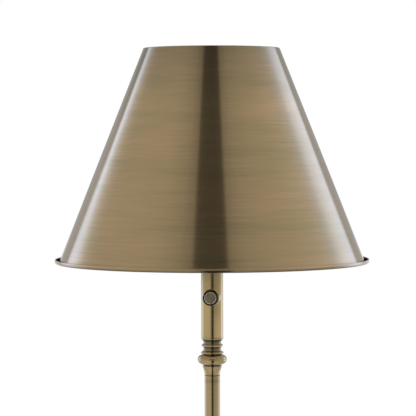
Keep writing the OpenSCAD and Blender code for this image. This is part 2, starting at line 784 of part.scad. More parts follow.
module neck_turning() color(brass) turned(neck_z) difference() {
    union() {
        band(0, tube_bore_r - slip, -spigot_l, 0.5);
        ball_stack();
        band(0, cove_d / 2, low_cove_z - 0.5, chamfer_z + 0.5);
        ring_moulding(bead_d, bead_z, bead_h);
        polygon([
            [0, chamfer_z], [cove_d / 2 + 0.6, chamfer_z], [sleeve_r, neck_rim_z],
            [sleeve_r, neck_h], [0, neck_h]
        ]);
        band(0, sleeve_bore_r - slip, neck_h - 0.5, neck_h + sleeve_plug_h);
    }
    band(0, rod_hole_r, -spigot_l - 1, neck_h + sleeve_plug_h + 1);
}

neck_seat_z = sleeve_z + sleeve_plug_h;
neck_washer_t = 1;
rod_top_z = neck_seat_z + neck_washer_t + rod_nut_t + 2;

module neck_washer() color(steel) translate([0, 0, neck_seat_z])
    washer(sleeve_bore_r - 1.5, neck_washer_t, rod_hole_r);

module neck_nut() color(steel) translate([0, 0, neck_seat_z + neck_washer_t])
    hex_nut(rod_nut_af, rod_nut_t, rod_hole_r);

module upper_tube() color(brass) translate([0, 0, seam_z])
    pipe(tube_r, tube_bore_r, neck_z - seam_z);

module lower_tube() color(brass) translate([0, 0, pole_z])
    pipe(tube_r, tube_bore_r, seam_z - pole_z);

coupling_wall = 2.2;
coupling_l = 26;

module pole_joiner() color(brass) translate([0, 0, seam_z - spigot_l - 5])
    pipe(tube_bore_r - slip, rod_hole_r + coupling_wall + slip, 2 * spigot_l + 10);

module rod_coupling() color(steel) translate([0, 0, seam_z - coupling_l / 2])
    pipe(rod_hole_r + coupling_wall, rod_hole_r, coupling_l);

module upper_rod() color(steel) translate([0, 0, seam_z])
    pipe(rod_r, rod_bore / 2, rod_top_z - seam_z);

module lower_rod() color(steel) translate([0, 0, base_nut_z - 2])
    pipe(rod_r, rod_bore / 2, seam_z - base_nut_z + 2);

module supply_lead() color([0.15, 0.13, 0.1])
    translate([0, 0, base_nut_z - 2]) linear_extrude(knob_z - case_h / 2 - base_nut_z + 2) {
        for (x = [-1, 1])
            translate([x * wire_gap, 0]) circle(wire_r);
        square([2 * wire_gap, 0.8], center = true);
    }

module base_collar() color(brass) turned(seat_z) difference() {
    stack_h = pole_z - seat_z;
    foot_r = base_seat_d / 2 - 4;
    union() {
        ring_moulding(2 * foot_r, 0, collar_foot_h);
        difference() {
            band(0, cove_d / 2 + low_cove_h / 2, collar_foot_h - 0.5, collar_foot_h + low_cove_h / 2);
            round_at(cove_d / 2 + low_cove_h / 2, collar_foot_h + low_cove_h / 2, low_cove_h / 2);
        }
        band(0, cove_d / 2, collar_foot_h - 0.5, collar_foot_h + low_cove_h + 0.5);
        translate([0, stack_h]) mirror([0, 1]) ball_stack();
        band(0, tube_bore_r - slip, stack_h - 0.5, stack_h + spigot_l);
    }
    band(0, rod_hole_r, -1, stack_h + spigot_l + 1);
}

// Base

// Outline of the spun cover, drawn smaller by an inset for its inside
module base_outline(inset) {
    edge_mid_r = base_r - base_edge_r;
    round_at(edge_mid_r, edge_z, base_edge_r - inset);
    band(0, edge_mid_r, -1, ledge_z - inset);
    intersection() {
        round_at(0, dome_sphere_z, dome_sphere_r - inset);
        band(0, dome_r - inset, 0, seat_z);
    }
    bead_mid_r = scotia_foot_r + base_bead_d / 2 - 1;
    round_at(bead_mid_r, dome_height(bead_mid_r), base_bead_d / 2 - inset);
    difference() {
        band(0, scotia_foot_r, 0, seat_z - inset);
        round_at(scotia_foot_r, seat_z, base_scotia_r + inset);
    }
}

cord_r = cord_bore_d / 2;
bushing_wall = 2.2;
bushing_flange = 2;

module base_cover() color(brass) difference() {
    turned() difference() {
        base_outline(0);
        base_outline(base_wall);
        band(0, base_r - base_edge_r, -2, edge_z);
        band(0, rod_hole_r, 0, seat_z + 1);
    }
    translate([0, base_r - 2 * base_edge_r, edge_z]) rotate([-90, 0, 0])
        cylinder(r = cord_r + bushing_wall + slip, h = 2 * base_edge_d);
}

module cord_bushing() color(black) difference() {
    union() {
        translate([0, base_r - base_edge_r - 4, edge_z]) rotate([-90, 0, 0])
            cylinder(r = cord_r + bushing_wall, h = base_edge_r + 5.4);
        difference() {
            translate([0, base_r - base_edge_r, edge_z]) rotate([-90, 0, 0])
                cylinder(r = cord_r + bushing_wall + bushing_flange, h = base_edge_r + 1.4);
            turned() {
                round_at(base_r - base_edge_r, edge_z, base_edge_r + slip);
                band(0, base_r - base_edge_r, -base_d, base_d);
            }
        }
    }
    translate([0, base_r - base_edge_d, edge_z]) rotate([-90, 0, 0])
        cylinder(r = cord_r, h = 3 * base_edge_d);
}

weight_r = base_r - base_edge_r - 1;
weight_edge_z = ledge_z - base_wall - 1;
nut_room_h = rod_nut_t + 8;
base_nut_z = felt_t + nut_room_h - 1.6 - rod_nut_t;

module base_weight() color([0.2, 0.2, 0.21]) difference() {
    turned() {
        hub_r = base_seat_d / 2 - 3;
        shelf_r = scotia_foot_r + base_bead_d + 6;
        shelf_z = dome_height(shelf_r) - base_wall - 2;
        polygon([
            [rod_hole_r, felt_t], [weight_r, felt_t], [weight_r, weight_edge_z],
            [dome_r - base_wall - 3, weight_edge_z], [shelf_r, shelf_z],
            [hub_r, shelf_z], [hub_r, seat_z - base_scotia_r / 3], [base_seat_d / 2 - 6, seat_z - base_wall],
            [rod_hole_r, seat_z - base_wall]
        ]);
    }
    translate([0, 0, felt_t - 1]) cylinder(r = rod_nut_af / 2 + 9, h = nut_room_h + 1);
    channel_w = 2 * (cord_r + bushing_wall) + 1;
    translate([-channel_w / 2, 0, felt_t - 1])
        cube([channel_w, base_r, edge_z + channel_w / 2 - felt_t + 1]);
}

module base_washer() color(steel) translate([0, 0, base_nut_z + rod_nut_t])
    washer(rod_nut_af / 2 + 6, 1.6, rod_hole_r);

module base_nut() color(steel) translate([0, 0, base_nut_z])
    hex_nut(rod_nut_af, rod_nut_t, rod_hole_r);

module felt_pad() color([0.13, 0.2, 0.15]) cylinder(r = weight_r, h = felt_t);

shade();
shade_spider();
finial();
harp_saddle();
harp_sleeves();
harp_wire();
harp_stud();
bulb_glass();
bulb_cap();
bulb_contact();
socket_cap();
socket_shell();
socket_liner();
socket_core();
screw_shell();
centre_contact();
terminal_screws();
top_nipple();
sleeve_cap();
cap_nut();
switch_sleeve();
socket_lead();
dimmer_case();
dimmer_bushing();
dimmer_bezel();
dimmer_washer();
dimmer_nut();
dimmer_shaft();
dimmer_knob();
knob_inlay();
knob_screw();
neck_turning();
neck_washer();
neck_nut();
upper_tube();
lower_tube();
pole_joiner();
upper_rod();
lower_rod();
rod_coupling();
supply_lead();
base_collar();
base_cover();
base_weight();
base_washer();
base_nut();
cord_bushing();
felt_pad();
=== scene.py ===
# %% [markdown]
# # A brass floor lamp
# This lesson dresses a floor lamp that was constructed in CAD. The CAD solids give every size and
# place. Blender gives the smooth turned surfaces, the brushed metal and the light of a photo studio.
# The pieces are mostly turned on a lathe, so one lathe helper does most of the modelling.

# %% Load the frame
from math import acos, asin, atan2, cos, degrees, hypot, pi, radians, sin, sqrt, tan

import bmesh
import bpy
from mathutils import Matrix, Vector


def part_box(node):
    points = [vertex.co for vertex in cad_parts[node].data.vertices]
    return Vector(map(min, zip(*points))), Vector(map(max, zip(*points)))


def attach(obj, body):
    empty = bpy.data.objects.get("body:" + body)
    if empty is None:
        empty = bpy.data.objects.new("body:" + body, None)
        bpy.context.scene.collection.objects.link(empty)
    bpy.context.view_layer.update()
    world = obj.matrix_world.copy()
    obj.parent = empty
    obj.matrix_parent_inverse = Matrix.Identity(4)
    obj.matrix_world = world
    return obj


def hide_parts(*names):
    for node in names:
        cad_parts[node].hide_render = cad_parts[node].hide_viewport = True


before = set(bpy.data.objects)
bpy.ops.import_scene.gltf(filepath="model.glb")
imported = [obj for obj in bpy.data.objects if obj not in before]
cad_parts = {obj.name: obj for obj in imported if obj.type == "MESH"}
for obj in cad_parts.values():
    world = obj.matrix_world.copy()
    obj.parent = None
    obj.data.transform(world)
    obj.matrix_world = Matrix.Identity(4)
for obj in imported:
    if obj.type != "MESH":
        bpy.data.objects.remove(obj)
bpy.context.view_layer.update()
MM = 0.001
scene = bpy.context.scene
scene.view_settings.view_transform = "Standard"

# %% [markdown]
# ## Sizes
# The lamp is measured in millimetres from the floor up, as on a workshop drawing. The levels come
# from the CAD nodes' boxes, so a piece always sits where its solid sits. The radii and walls that a box
# does not show are those of the CAD model.


# %% Levels read from the solids
def low(node):
    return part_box(node)[0][2] / MM


def high(node):
    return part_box(node)[1][2] / MM


LAMP_TOP = high("shade")
RIM_LOW = low("shade")
RIM_R = 201.5
SLEEVE_LOW = low("switch_sleeve")
SLEEVE_HIGH = high("switch_sleeve")
SLEEVE_R = 14.25
TUBE_R = 10.0
TUBE_WALL = 1.5
ROD_HOLE = 5.0
NECK_LOW = high("upper_tube")
KNOB_Z = (low("dimmer_knob") + high("dimmer_knob")) / 2
POLE_LOW = low("lower_tube")
SEAM = high("lower_tube")
SEAT = low("base_collar")
print(f"rim {RIM_LOW:.1f}, top {LAMP_TOP:.1f}, neck {NECK_LOW:.1f}, knob {KNOB_Z:.1f} mm")

# %% [markdown]
# ## Camera
# A product photographer stands well back with a long lens, so that the shade's edges stay straight.
# Here the camera is 2.71 m from the pole, a little above the shade's rim, turned 5.5 degrees round the
# lamp, so the knob shows just left of the middle. The lens of 183 mm on a 36 mm sensor gives the
# narrow view. The view's centre is 5 mm beside the pole, there is no lens shift, and the camera is
# rolled by a seventh of a degree, as the photograph is.

# %% Camera
AROUND = radians(5.5)
DISTANCE = 2710.0
EYE = RIM_LOW + 168.75
BESIDE_POLE = -5.0
LOOK_DOWN = radians(2.08)
ROLL = radians(-0.15)
SENSOR = 36
FOCAL_PIXELS = 2115
IMAGE_PIXELS = 416
camera = bpy.data.objects.new("camera", bpy.data.cameras.new("camera"))
scene.collection.objects.link(camera)
camera.data.sensor_width = SENSOR
camera.data.lens = SENSOR * FOCAL_PIXELS / IMAGE_PIXELS
camera.data.clip_end = 100
camera.location = Vector((DISTANCE * sin(AROUND), -DISTANCE * cos(AROUND), EYE)) * MM
aim_z = EYE - DISTANCE * tan(LOOK_DOWN)
aim = Vector((BESIDE_POLE * cos(AROUND), BESIDE_POLE * sin(AROUND), aim_z)) * MM
camera.rotation_euler = (aim - camera.location).to_track_quat("-Z", "Y").to_euler()
camera.rotation_euler.rotate_axis("Z", ROLL)
scene.camera = camera
print("camera at", [round(c, 3) for c in camera.location], "lens", round(camera.data.lens, 1))

# %% [markdown]
# ## Colours and node helpers
# Colours are written as the sRGB hex values that one would pick from a photograph. The shaders need
# linear values, so one function converts them. Another small function adds a node, sets its inputs
# and links it, which keeps each material short. A third starts an empty material and prints its name.


# %% Colour and node helpers
def srgb(code):
    parts = [int(code[i : i + 2], 16) / 255 for i in (1, 3, 5)]
    linear = [c / 12.92 if c <= 0.04045 else ((c + 0.055) / 1.055) ** 2.4 for c in parts]
    return (*linear, 1.0)


def add(tree, kind, inputs=None, **settings):
    made = tree.nodes.new(kind)
    for key, value in settings.items():
        setattr(made, key, value)
    for key, value in (inputs or {}).items():
        if isinstance(value, bpy.types.Node):
            value = value.outputs[0]
        if isinstance(value, bpy.types.NodeSocket):
            tree.links.new(value, made.inputs[key])
        else:
            made.inputs[key].default_value = value
    return made


def new_material(name):
    material = bpy.data.materials.new(name)
    material.use_nodes = True
    material.node_tree.nodes.clear()
    print("material:", name)
    return material, material.node_tree


print("white is", srgb("#ffffff"))

# %% [markdown]
# ## Studio
# The lamp stands before plain white, on a pale floor disc that catches its shadow. The world is white
# where the camera, a mirror or glass looks at it, and a little dimmer where it only lights matt
# surfaces, so that the shadow stays visible. The floor and the light tent below are stage pieces: they
# light the lamp and are not part of it. One helper turns a finished bmesh into an object: it shades
# the faces smooth and keeps the edges that are sharper than a given angle.

# %% World
MATT_LIGHT = 0.75
world = bpy.data.worlds.new("studio")
scene.world = world
world.use_nodes = True
tree = world.node_tree
tree.nodes.clear()
path = add(tree, "ShaderNodeLightPath").outputs
seen = add(
    tree, "ShaderNodeMath", {0: path["Is Camera Ray"], 1: path["Is Glossy Ray"]}, operation="MAXIMUM"
)
seen = add(tree, "ShaderNodeMath", {0: seen, 1: path["Is Transmission Ray"]}, operation="MAXIMUM")
level = add(tree, "ShaderNodeMapRange", {"Value": seen, "To Min": MATT_LIGHT, "To Max": 1.0})
sky = add(tree, "ShaderNodeBackground", {"Color": (1, 1, 1, 1), "Strength": level})
add(tree, "ShaderNodeOutputWorld", {"Surface": sky})
print("world of", len(tree.nodes), "nodes")


# %% Floor
def finish_object(name, bm, materials, smooth_angle=40):
    mesh = bpy.data.meshes.new(name)
    bm.to_mesh(mesh)
    bm.free()
    mesh.shade_smooth()
    mesh.set_sharp_from_angle(angle=radians(smooth_angle))
    for one in materials:
        mesh.materials.append(one)
    made = bpy.data.objects.new(name, mesh)
    scene.collection.objects.link(made)
    return made


# Painted board: pale, matt and even, so that only the shadow shows on it.
floor_paint, tree = new_material("pale_studio_floor")
painted = add(tree, "ShaderNodeBsdfPrincipled", {"Base Color": srgb("#DCDCDA"), "Roughness": 0.9})
add(tree, "ShaderNodeOutputMaterial", {"Surface": painted})
bm = bmesh.new()
bmesh.ops.create_circle(bm, cap_ends=True, segments=96, radius=4.0)
floor = finish_object("studio_floor", bm, [floor_paint])
print("floor", tuple(round(c, 2) for c in floor.dimensions))

# %% [markdown]
# ## Light tent
# Metal shows little but its surroundings, so a photographer of brass builds them: a dome of white
# cloth, with a dark gap that the lens looks through and two bright strip lights behind the lamp.
# The gap gives the dark line down the middle of the shade and the pole. The strips give the white
# lines near their edges, and the edges themselves show the grey cloth behind. The cloth's brightness
# is one ramp over the angle from the camera on each side, 0 in front and 180 behind. The shade leans
# back and mirrors the upper cloth, the upright pole mirrors the lower cloth, so each has its own pair
# of ramps. The shade's lip mirrors the cloth between the two, which has no dark gap. Three more ramps
# make the lower cloth stronger or weaker over its height, so that the sleeve, the neck and the tube
# each get their own light. Only reflections see the tent, so it leaves the white ground and the
# floor's shadow alone.

# %% Brightness of the cloth round the lamp
# Each stop is an angle from the camera in degrees and the brightness there.
UPPER_LEFT = [
    (0, 0.095), (14.6, 0.095), (16.4, 0.32), (23, 0.37), (27, 0.44), (50, 0.57), (80, 0.59), (109, 0.57),
    (116, 0.63), (120, 0.74), (124, 0.95), (128, 1.4), (132, 2.0), (135.5, 2.22), (137.2, 2.22),
    (139.2, 0.37), (152, 0.33), (180, 0.25),
]
UPPER_RIGHT = [
    (0, 0.095), (12.3, 0.095), (13.9, 0.33), (27, 0.46), (50, 0.55), (70, 0.6), (96, 0.76), (105, 0.93),
    (110, 1.17), (116, 1.58), (121, 1.8), (131, 2.0), (138.8, 2.0), (141.8, 0.5), (152, 0.44),
    (180, 0.3),
]
LOWER_LEFT = [
    (0, 0.03), (4, 0.03), (12, 0.47), (20, 0.67), (36, 0.79), (60, 0.8), (98, 0.81), (108, 1.25),
    (118, 1.95), (130, 1.85), (140, 0.8), (180, 0.8),
]
LOWER_RIGHT = [
    (0, 0.03), (11, 0.04), (17, 0.28), (24, 0.41), (50, 0.46), (72, 0.55), (98, 0.68), (109, 1.45),
    (118, 2.15), (129, 2.0), (139, 0.8), (180, 0.8),
]
BETWEEN = [
    (0, 0.42), (50, 0.56), (96, 0.74), (112, 1.3), (122, 1.9), (137, 1.9), (141, 0.5), (180, 0.3),
]
print("brightest part of the strips:", max(bright for _, bright in UPPER_LEFT + LOWER_RIGHT))

# %% Strength of the cloth over its height
# Each stop is a height in metres and the strength there: left, right, and the strip on the right.
POWER_LEFT = [(0, 2.7), (0.62, 2.7), (0.8, 3.0), (0.92, 3.0), (1.06, 2.2), (1.25, 2.2), (1.35, 3.0)]
POWER_RIGHT = [(0, 4.4), (0.64, 4.6), (0.8, 2.3), (0.94, 2.2), (1.06, 3.6), (1.25, 3.6), (1.35, 3.0)]
POWER_STRIP = [(0, 3.2), (0.62, 3.2), (0.8, 3.0), (1.35, 3.0)]
TOP_POWER = 6.0
TOP_HEIGHT = 1.5
print("strength on the right:", min(p for _, p in POWER_RIGHT), "to", max(p for _, p in POWER_RIGHT))

# %% Ramps of the cloth
# Lit white cotton: an even glow that draws the bands on the brass, bluish where a strip shines through.
STRIP_TINT = srgb("#CBDCFF")
TINT_SPAN = 0.6
BRIGHT_SCALE = 3
cloth, tree = new_material("light_tent_cloth")
place = add(tree, "ShaderNodeTexCoord").outputs["Object"]
turn = add(tree, "ShaderNodeVectorRotate", {"Vector": place, "Angle": -AROUND}, rotation_type="Z_AXIS")
axes = add(tree, "ShaderNodeSeparateXYZ", {0: turn}).outputs
ahead = add(tree, "ShaderNodeMath", {0: axes["Y"], 1: -1.0}, operation="MULTIPLY")
angle = add(tree, "ShaderNodeMath", {0: axes["X"], 1: ahead}, operation="ARCTAN2")
part_turn = add(tree, "ShaderNodeMath", {0: angle}, operation="ABSOLUTE")
part_turn = add(tree, "ShaderNodeMath", {0: part_turn, 1: 1 / pi}, operation="MULTIPLY")
height = add(tree, "ShaderNodeMapRange", {"Value": axes["Z"], "From Max": TOP_HEIGHT})

curves = []
for stops, warm_until in (
    (LOWER_LEFT, 1.0), (LOWER_RIGHT, 1.0), (UPPER_LEFT, 0.6), (UPPER_RIGHT, 0.6), (BETWEEN, 0.8)
):
    curve = []
    for turned_by, bright in stops:
        cool = min(max((bright - warm_until) / TINT_SPAN, 0.0), 1.0)
        colour = [bright / BRIGHT_SCALE * (1 - cool + cool * c) for c in STRIP_TINT[:3]]
        curve.append((turned_by / 180, colour))
    curves.append((part_turn, curve))
for stops in (POWER_LEFT, POWER_RIGHT, POWER_STRIP):
    curves.append((height, [(up / TOP_HEIGHT, [power / TOP_POWER] * 3) for up, power in stops]))

ramps = []
for value, curve in curves:
    ramp = add(tree, "ShaderNodeValToRGB", {"Fac": value})
    while len(ramp.color_ramp.elements) < len(curve):
        ramp.color_ramp.elements.new(0.5)
    for element, (spot, colour) in zip(ramp.color_ramp.elements, curve):
        element.position = spot
        element.color = (*colour, 1)
    ramps.append(ramp)
print("ramps of", [len(curve) for _, curve in curves], "stops")

# %% Mixing the cloth's parts
# The lower cloth ends just above the rim's level and the upper cloth starts 0.65 m higher, in metres.
# The strip starts at 0.38 to 0.55 of half a turn from the camera.
LOWER_ENDS = {"From Min": 1.3, "From Max": 1.4}
UPPER_STARTS = {"From Min": 2.05, "From Max": 2.3}
STRIP_STARTS = {"From Min": 0.38, "From Max": 0.55}
low_left, low_right, up_left, up_right, between, left, right, strip = ramps
is_right = add(tree, "ShaderNodeMath", {0: angle, 1: 0.0}, operation="GREATER_THAN")
is_between = add(tree, "ShaderNodeMapRange", {"Value": axes["Z"], **LOWER_ENDS})
is_upper = add(tree, "ShaderNodeMapRange", {"Value": axes["Z"], **UPPER_STARTS})
is_strip = add(tree, "ShaderNodeMapRange", {"Value": part_turn, **STRIP_STARTS})
lower = add(tree, "ShaderNodeMix", {0: is_right, 6: low_left, 7: low_right}, data_type="RGBA").outputs[2]
upper = add(tree, "ShaderNodeMix", {0: is_right, 6: up_left, 7: up_right}, data_type="RGBA").outputs[2]
tone = add(tree, "ShaderNodeMix", {0: is_between, 6: lower, 7: between}, data_type="RGBA").outputs[2]
tone = add(tree, "ShaderNodeMix", {0: is_upper, 6: tone, 7: upper}, data_type="RGBA").outputs[2]
right = add(tree, "ShaderNodeMix", {0: is_strip, 6: right, 7: strip}, data_type="RGBA").outputs[2]
power = add(tree, "ShaderNodeMix", {0: is_right, 6: left, 7: right}, data_type="RGBA").outputs[2]
power = add(tree, "ShaderNodeMath", {0: power, 1: TOP_POWER}, operation="MULTIPLY")
glow = add(tree, "ShaderNodeEmission", {"Color": tone, "Strength": power})
add(tree, "ShaderNodeOutputMaterial", {"Surface": glow})
print("cloth of", len(tree.nodes), "nodes")

# %% Tent
DOME_R = 3.3
DOME_MID = (0, 0, 1.3)
DOME_FOOT = (0, 0, 0.002)


def show_in_reflections_only(piece):
    for ray in ("camera", "diffuse", "transmission", "volume_scatter", "shadow"):
        setattr(piece, "visible_" + ray, False)


bm = bmesh.new()
bmesh.ops.create_uvsphere(bm, u_segments=96, v_segments=48, radius=DOME_R)
bmesh.ops.translate(bm, verts=bm.verts, vec=DOME_MID)
whole = bm.verts[:] + bm.edges[:] + bm.faces[:]
bmesh.ops.bisect_plane(bm, geom=whole, plane_co=DOME_FOOT, plane_no=(0, 0, -1), clear_outer=True)
tent = finish_object("light_tent", bm, [cloth])
show_in_reflections_only(tent)
print("tent", tuple(round(c, 2) for c in tent.dimensions))

# %% [markdown]
# ## Dark cloth on the floor
# The neck's round parts also mirror the floor before them, and a pale floor would break their dark
# line. A runner of black velvet that starts near the pole and widens towards the camera carries the line
# on. Velvet is one of several finishes here that are a single material with a slight mottling, so one
# function makes them all. It takes two tones, the size of the mottling in millimetres and how fine its
# detail is, the shader's own settings, and the strength and depth in millimetres of any roughness that
# the light should catch on.


# %% Mottled finishes and the velvet
def mottled_finish(name, dark, light, size, detail, look, bump=0.0, depth=0.0):
    material, tree = new_material(name)
    place = add(tree, "ShaderNodeTexCoord").outputs["Object"]
    noise = add(tree, "ShaderNodeTexNoise", {"Vector": place, "Scale": 1 / (size * MM), "Detail": detail})
    mottle = noise.outputs["Fac"]
    tint = add(tree, "ShaderNodeMix", {0: mottle, 6: srgb(dark), 7: srgb(light)}, data_type="RGBA")
    inputs = {"Base Color": tint.outputs[2], **look}
    if bump:
        relief = {"Height": mottle, "Strength": bump, "Distance": depth * MM}
        inputs["Normal"] = add(tree, "ShaderNodeBump", relief)
    surface = add(tree, "ShaderNodeBsdfPrincipled", inputs)
    add(tree, "ShaderNodeOutputMaterial", {"Surface": surface})
    return material


# Black velvet: a deep, dull pile with a faint weave of about 2 mm.
velvet = mottled_finish(
    "black_velvet", "#080808", "#141312", size=2.0, detail=2.0, look={"Roughness": 1.0}
)

# %% Runner of velvet
RUNNER_START = AROUND - radians(8)
RUNNER_TURN = radians(23)
RUNNER_ENDS = (0.2, 3.0)
RUNNER_Z = 0.004
bm = bmesh.new()
side = [bm.verts.new((r * sin(RUNNER_START), -r * cos(RUNNER_START), RUNNER_Z)) for r in RUNNER_ENDS]
edge = bm.edges.new(side)
bmesh.ops.spin(bm, geom=side + [edge], cent=(0, 0, 0), axis=(0, 0, 1), angle=RUNNER_TURN, steps=12)
runner = finish_object("floor_cloth", bm, [velvet])
show_in_reflections_only(runner)
print("cloth", tuple(round(c, 2) for c in runner.dimensions))

# %% [markdown]
# ## Key light
# Matt surfaces do not see the tent, so the floor and the enamel need a light of their own. A large
# disc at the upper left gives a soft shadow. It is kept out of reflections, because a second bright
# spot would show on the brass.

# %% Key light
LAMP_MIDDLE = Vector((0, 0, 0.9))
key = bpy.data.objects.new("key_light", bpy.data.lights.new("key_light", "AREA"))
scene.collection.objects.link(key)
key.data.shape = "DISK"
key.data.size = 1.6
key.data.energy = 45
key.location = (-1.3, -2.0, 2.9)
key.rotation_euler = (LAMP_MIDDLE - key.location).to_track_quat("-Z", "Y").to_euler()
key.visible_glossy = False
print("key light of", key.data.energy, "W")

# %% [markdown]
# ## The lathe
# Nearly every visible piece of this lamp was spun or turned, so it is the same all round. A maker
# draws half of the section and turns it. The helper does that with bmesh operators: one vertex is
# extruded along straight lines and spun along arcs, corners are softened with a vertex bevel, and the
# outline is then spun right round the axis. A move is "to" a radius and a height, with the softness of
# the corner, or an "arc" about a radius and a height, with its turn in degrees.


# %% Drawing a section
SAME_SPOT = 1e-7
ARC_STEP = 9


def outline(start, moves, close=True):
    bm = bmesh.new()
    first = tip = bm.verts.new((start[0] * MM, 0, start[1] * MM))
    soft_corners = []
    for kind, r, z, amount in moves:
        if kind == "to":
            tip = bmesh.ops.extrude_vert_indiv(bm, verts=[tip])["verts"][0]
            tip.co = (r * MM, 0, z * MM)
            if amount:
                soft_corners.append((tip, amount))
        if kind == "arc":
            spun = bmesh.ops.spin(
                bm, geom=[tip], cent=(r * MM, 0, z * MM), axis=(0, -1, 0), angle=radians(amount),
                steps=max(4, round(abs(amount) / ARC_STEP)),
            )
            tip = spun["geom_last"][0]
    if close:
        bm.edges.new((tip, first))
    for corner, radius in soft_corners:
        bmesh.ops.bevel(
            bm, geom=[corner], offset=radius * MM, offset_type="OFFSET", segments=4, profile=0.5,
            affect="VERTICES", material=-1, clamp_overlap=True,
        )
    bmesh.ops.remove_doubles(bm, verts=bm.verts, dist=SAME_SPOT)
    return bm


trial = outline((5, 0), [("to", 8, 0, 0.5), ("to", 8, 3, 0), ("to", 5, 3, 0)])
print("a washer's section with one soft corner has", len(trial.verts), "points")
trial.free()

# %% [markdown]
# ## Patina and painted shade in the grooves
# Old lacquer and polish turn dark in grooves, where no pad reaches. The same dark also stands for painted
# shade in creases and under things, and for painted reflection on tops that face up towards the shade.
# A value called patina is kept on the vertices for this: it is highest in the groove and fades
# out beside it. A groove is a radius, a height, the reach of its dark in millimetres and its darkness.
# The outline is cut a few times near each groove before it is turned, so that the fade has vertices to
# sit on.


# %% Turning a section
def cut_near_grooves(bm, grooves):
    for r, z, reach, _ in grooves:
        for part in (-1.0, -0.5, 0.0, 0.5, 1.0):
            upright = ((r + part * reach, 0, 0), (1, 0, 0))
            flat = ((0, 0, z + part * reach), (0, 0, 1))
            for spot, normal in (upright, flat):
                bmesh.ops.bisect_plane(
                    bm, geom=bm.verts[:] + bm.edges[:], dist=1e-6, plane_co=Vector(spot) * MM,
                    plane_no=normal,
                )


def turn_round(bm, steps):
    bmesh.ops.spin(
        bm, geom=bm.verts[:] + bm.edges[:], cent=(0, 0, 0), axis=(0, 0, 1), angle=2 * pi, steps=steps,
        use_merge=True,
    )
    bmesh.ops.remove_doubles(bm, verts=bm.verts, dist=SAME_SPOT)
    bmesh.ops.recalc_face_normals(bm, faces=bm.faces)


def darken_grooves(bm, grooves):
    patina = bm.verts.layers.float.new("patina")
    for vert in bm.verts:
        vert_r = hypot(vert.co.x, vert.co.y) / MM
        vert_z = vert.co.z / MM
        near = [
            darkness * (1 - hypot(vert_r - r, vert_z - z) / reach) for r, z, reach, darkness in grooves
        ]
        vert[patina] = max(near + [0.0])


def turned_mesh(start, moves, steps=128, grooves=(), close=True):
    bm = outline(start, moves, close)
    cut_near_grooves(bm, grooves)
    turn_round(bm, steps)
    darken_grooves(bm, grooves)
    return bm


trial = turned_mesh((5, 0), [("to", 8, 0, 0.5), ("to", 8, 3, 0), ("to", 5, 3, 0)])
print("the washer turned in 128 steps has", len(trial.faces), "faces")
trial.free()


# %% Putting a piece on the lamp
# Each piece rides on a body of the frame and takes the place of its CAD solid, which is hidden.
def settle(piece, body, node):
    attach(piece, body)
    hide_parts(node)
    print(f"{piece.name}: {len(piece.data.polygons)} faces, stands for {node}")


print("solids to stand for:", len(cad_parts))

# %% [markdown]
# ## Brass finishes
# Antique brass is brass that was darkened with acid, rubbed back until the metal shows again, and
# lacquered. Spun and turned pieces are rubbed while they turn, so the marks run round the axis. Such
# fine rings blur a reflection up and down but keep it sharp from side to side, which is why the shade
# shows upright bands of light and dark. The shader does this with anisotropy: the tangent runs round
# the axis, and a quarter turn puts the blur across the marks. Two noises give the colour: broad smears
# where the rubbing pad paused, and fine lines. Each is a length, a width in millimetres and a strength,
# on a piece of the given radius, its girth. The real lines are about 0.2 mm wide, which is under a pixel
# here, so most are drawn 1 to 2 mm wide to show at all. The lacquer is the shader's coat: it whitens the
# metal where the eye skims along it. The shade's colour is darker towards its top edge.


# %% Brass finish
# The shade's colour is darker towards its top edge, over this zone and by this tint.
TOP_DARK_ZONE = 72.0
TOP_DARK_TINT = srgb("#D3D6DA")
# Near-black of patina in hollows, also used for painted shade and painted reflection.
TARNISH_AND_SHADE = srgb("#120C06")


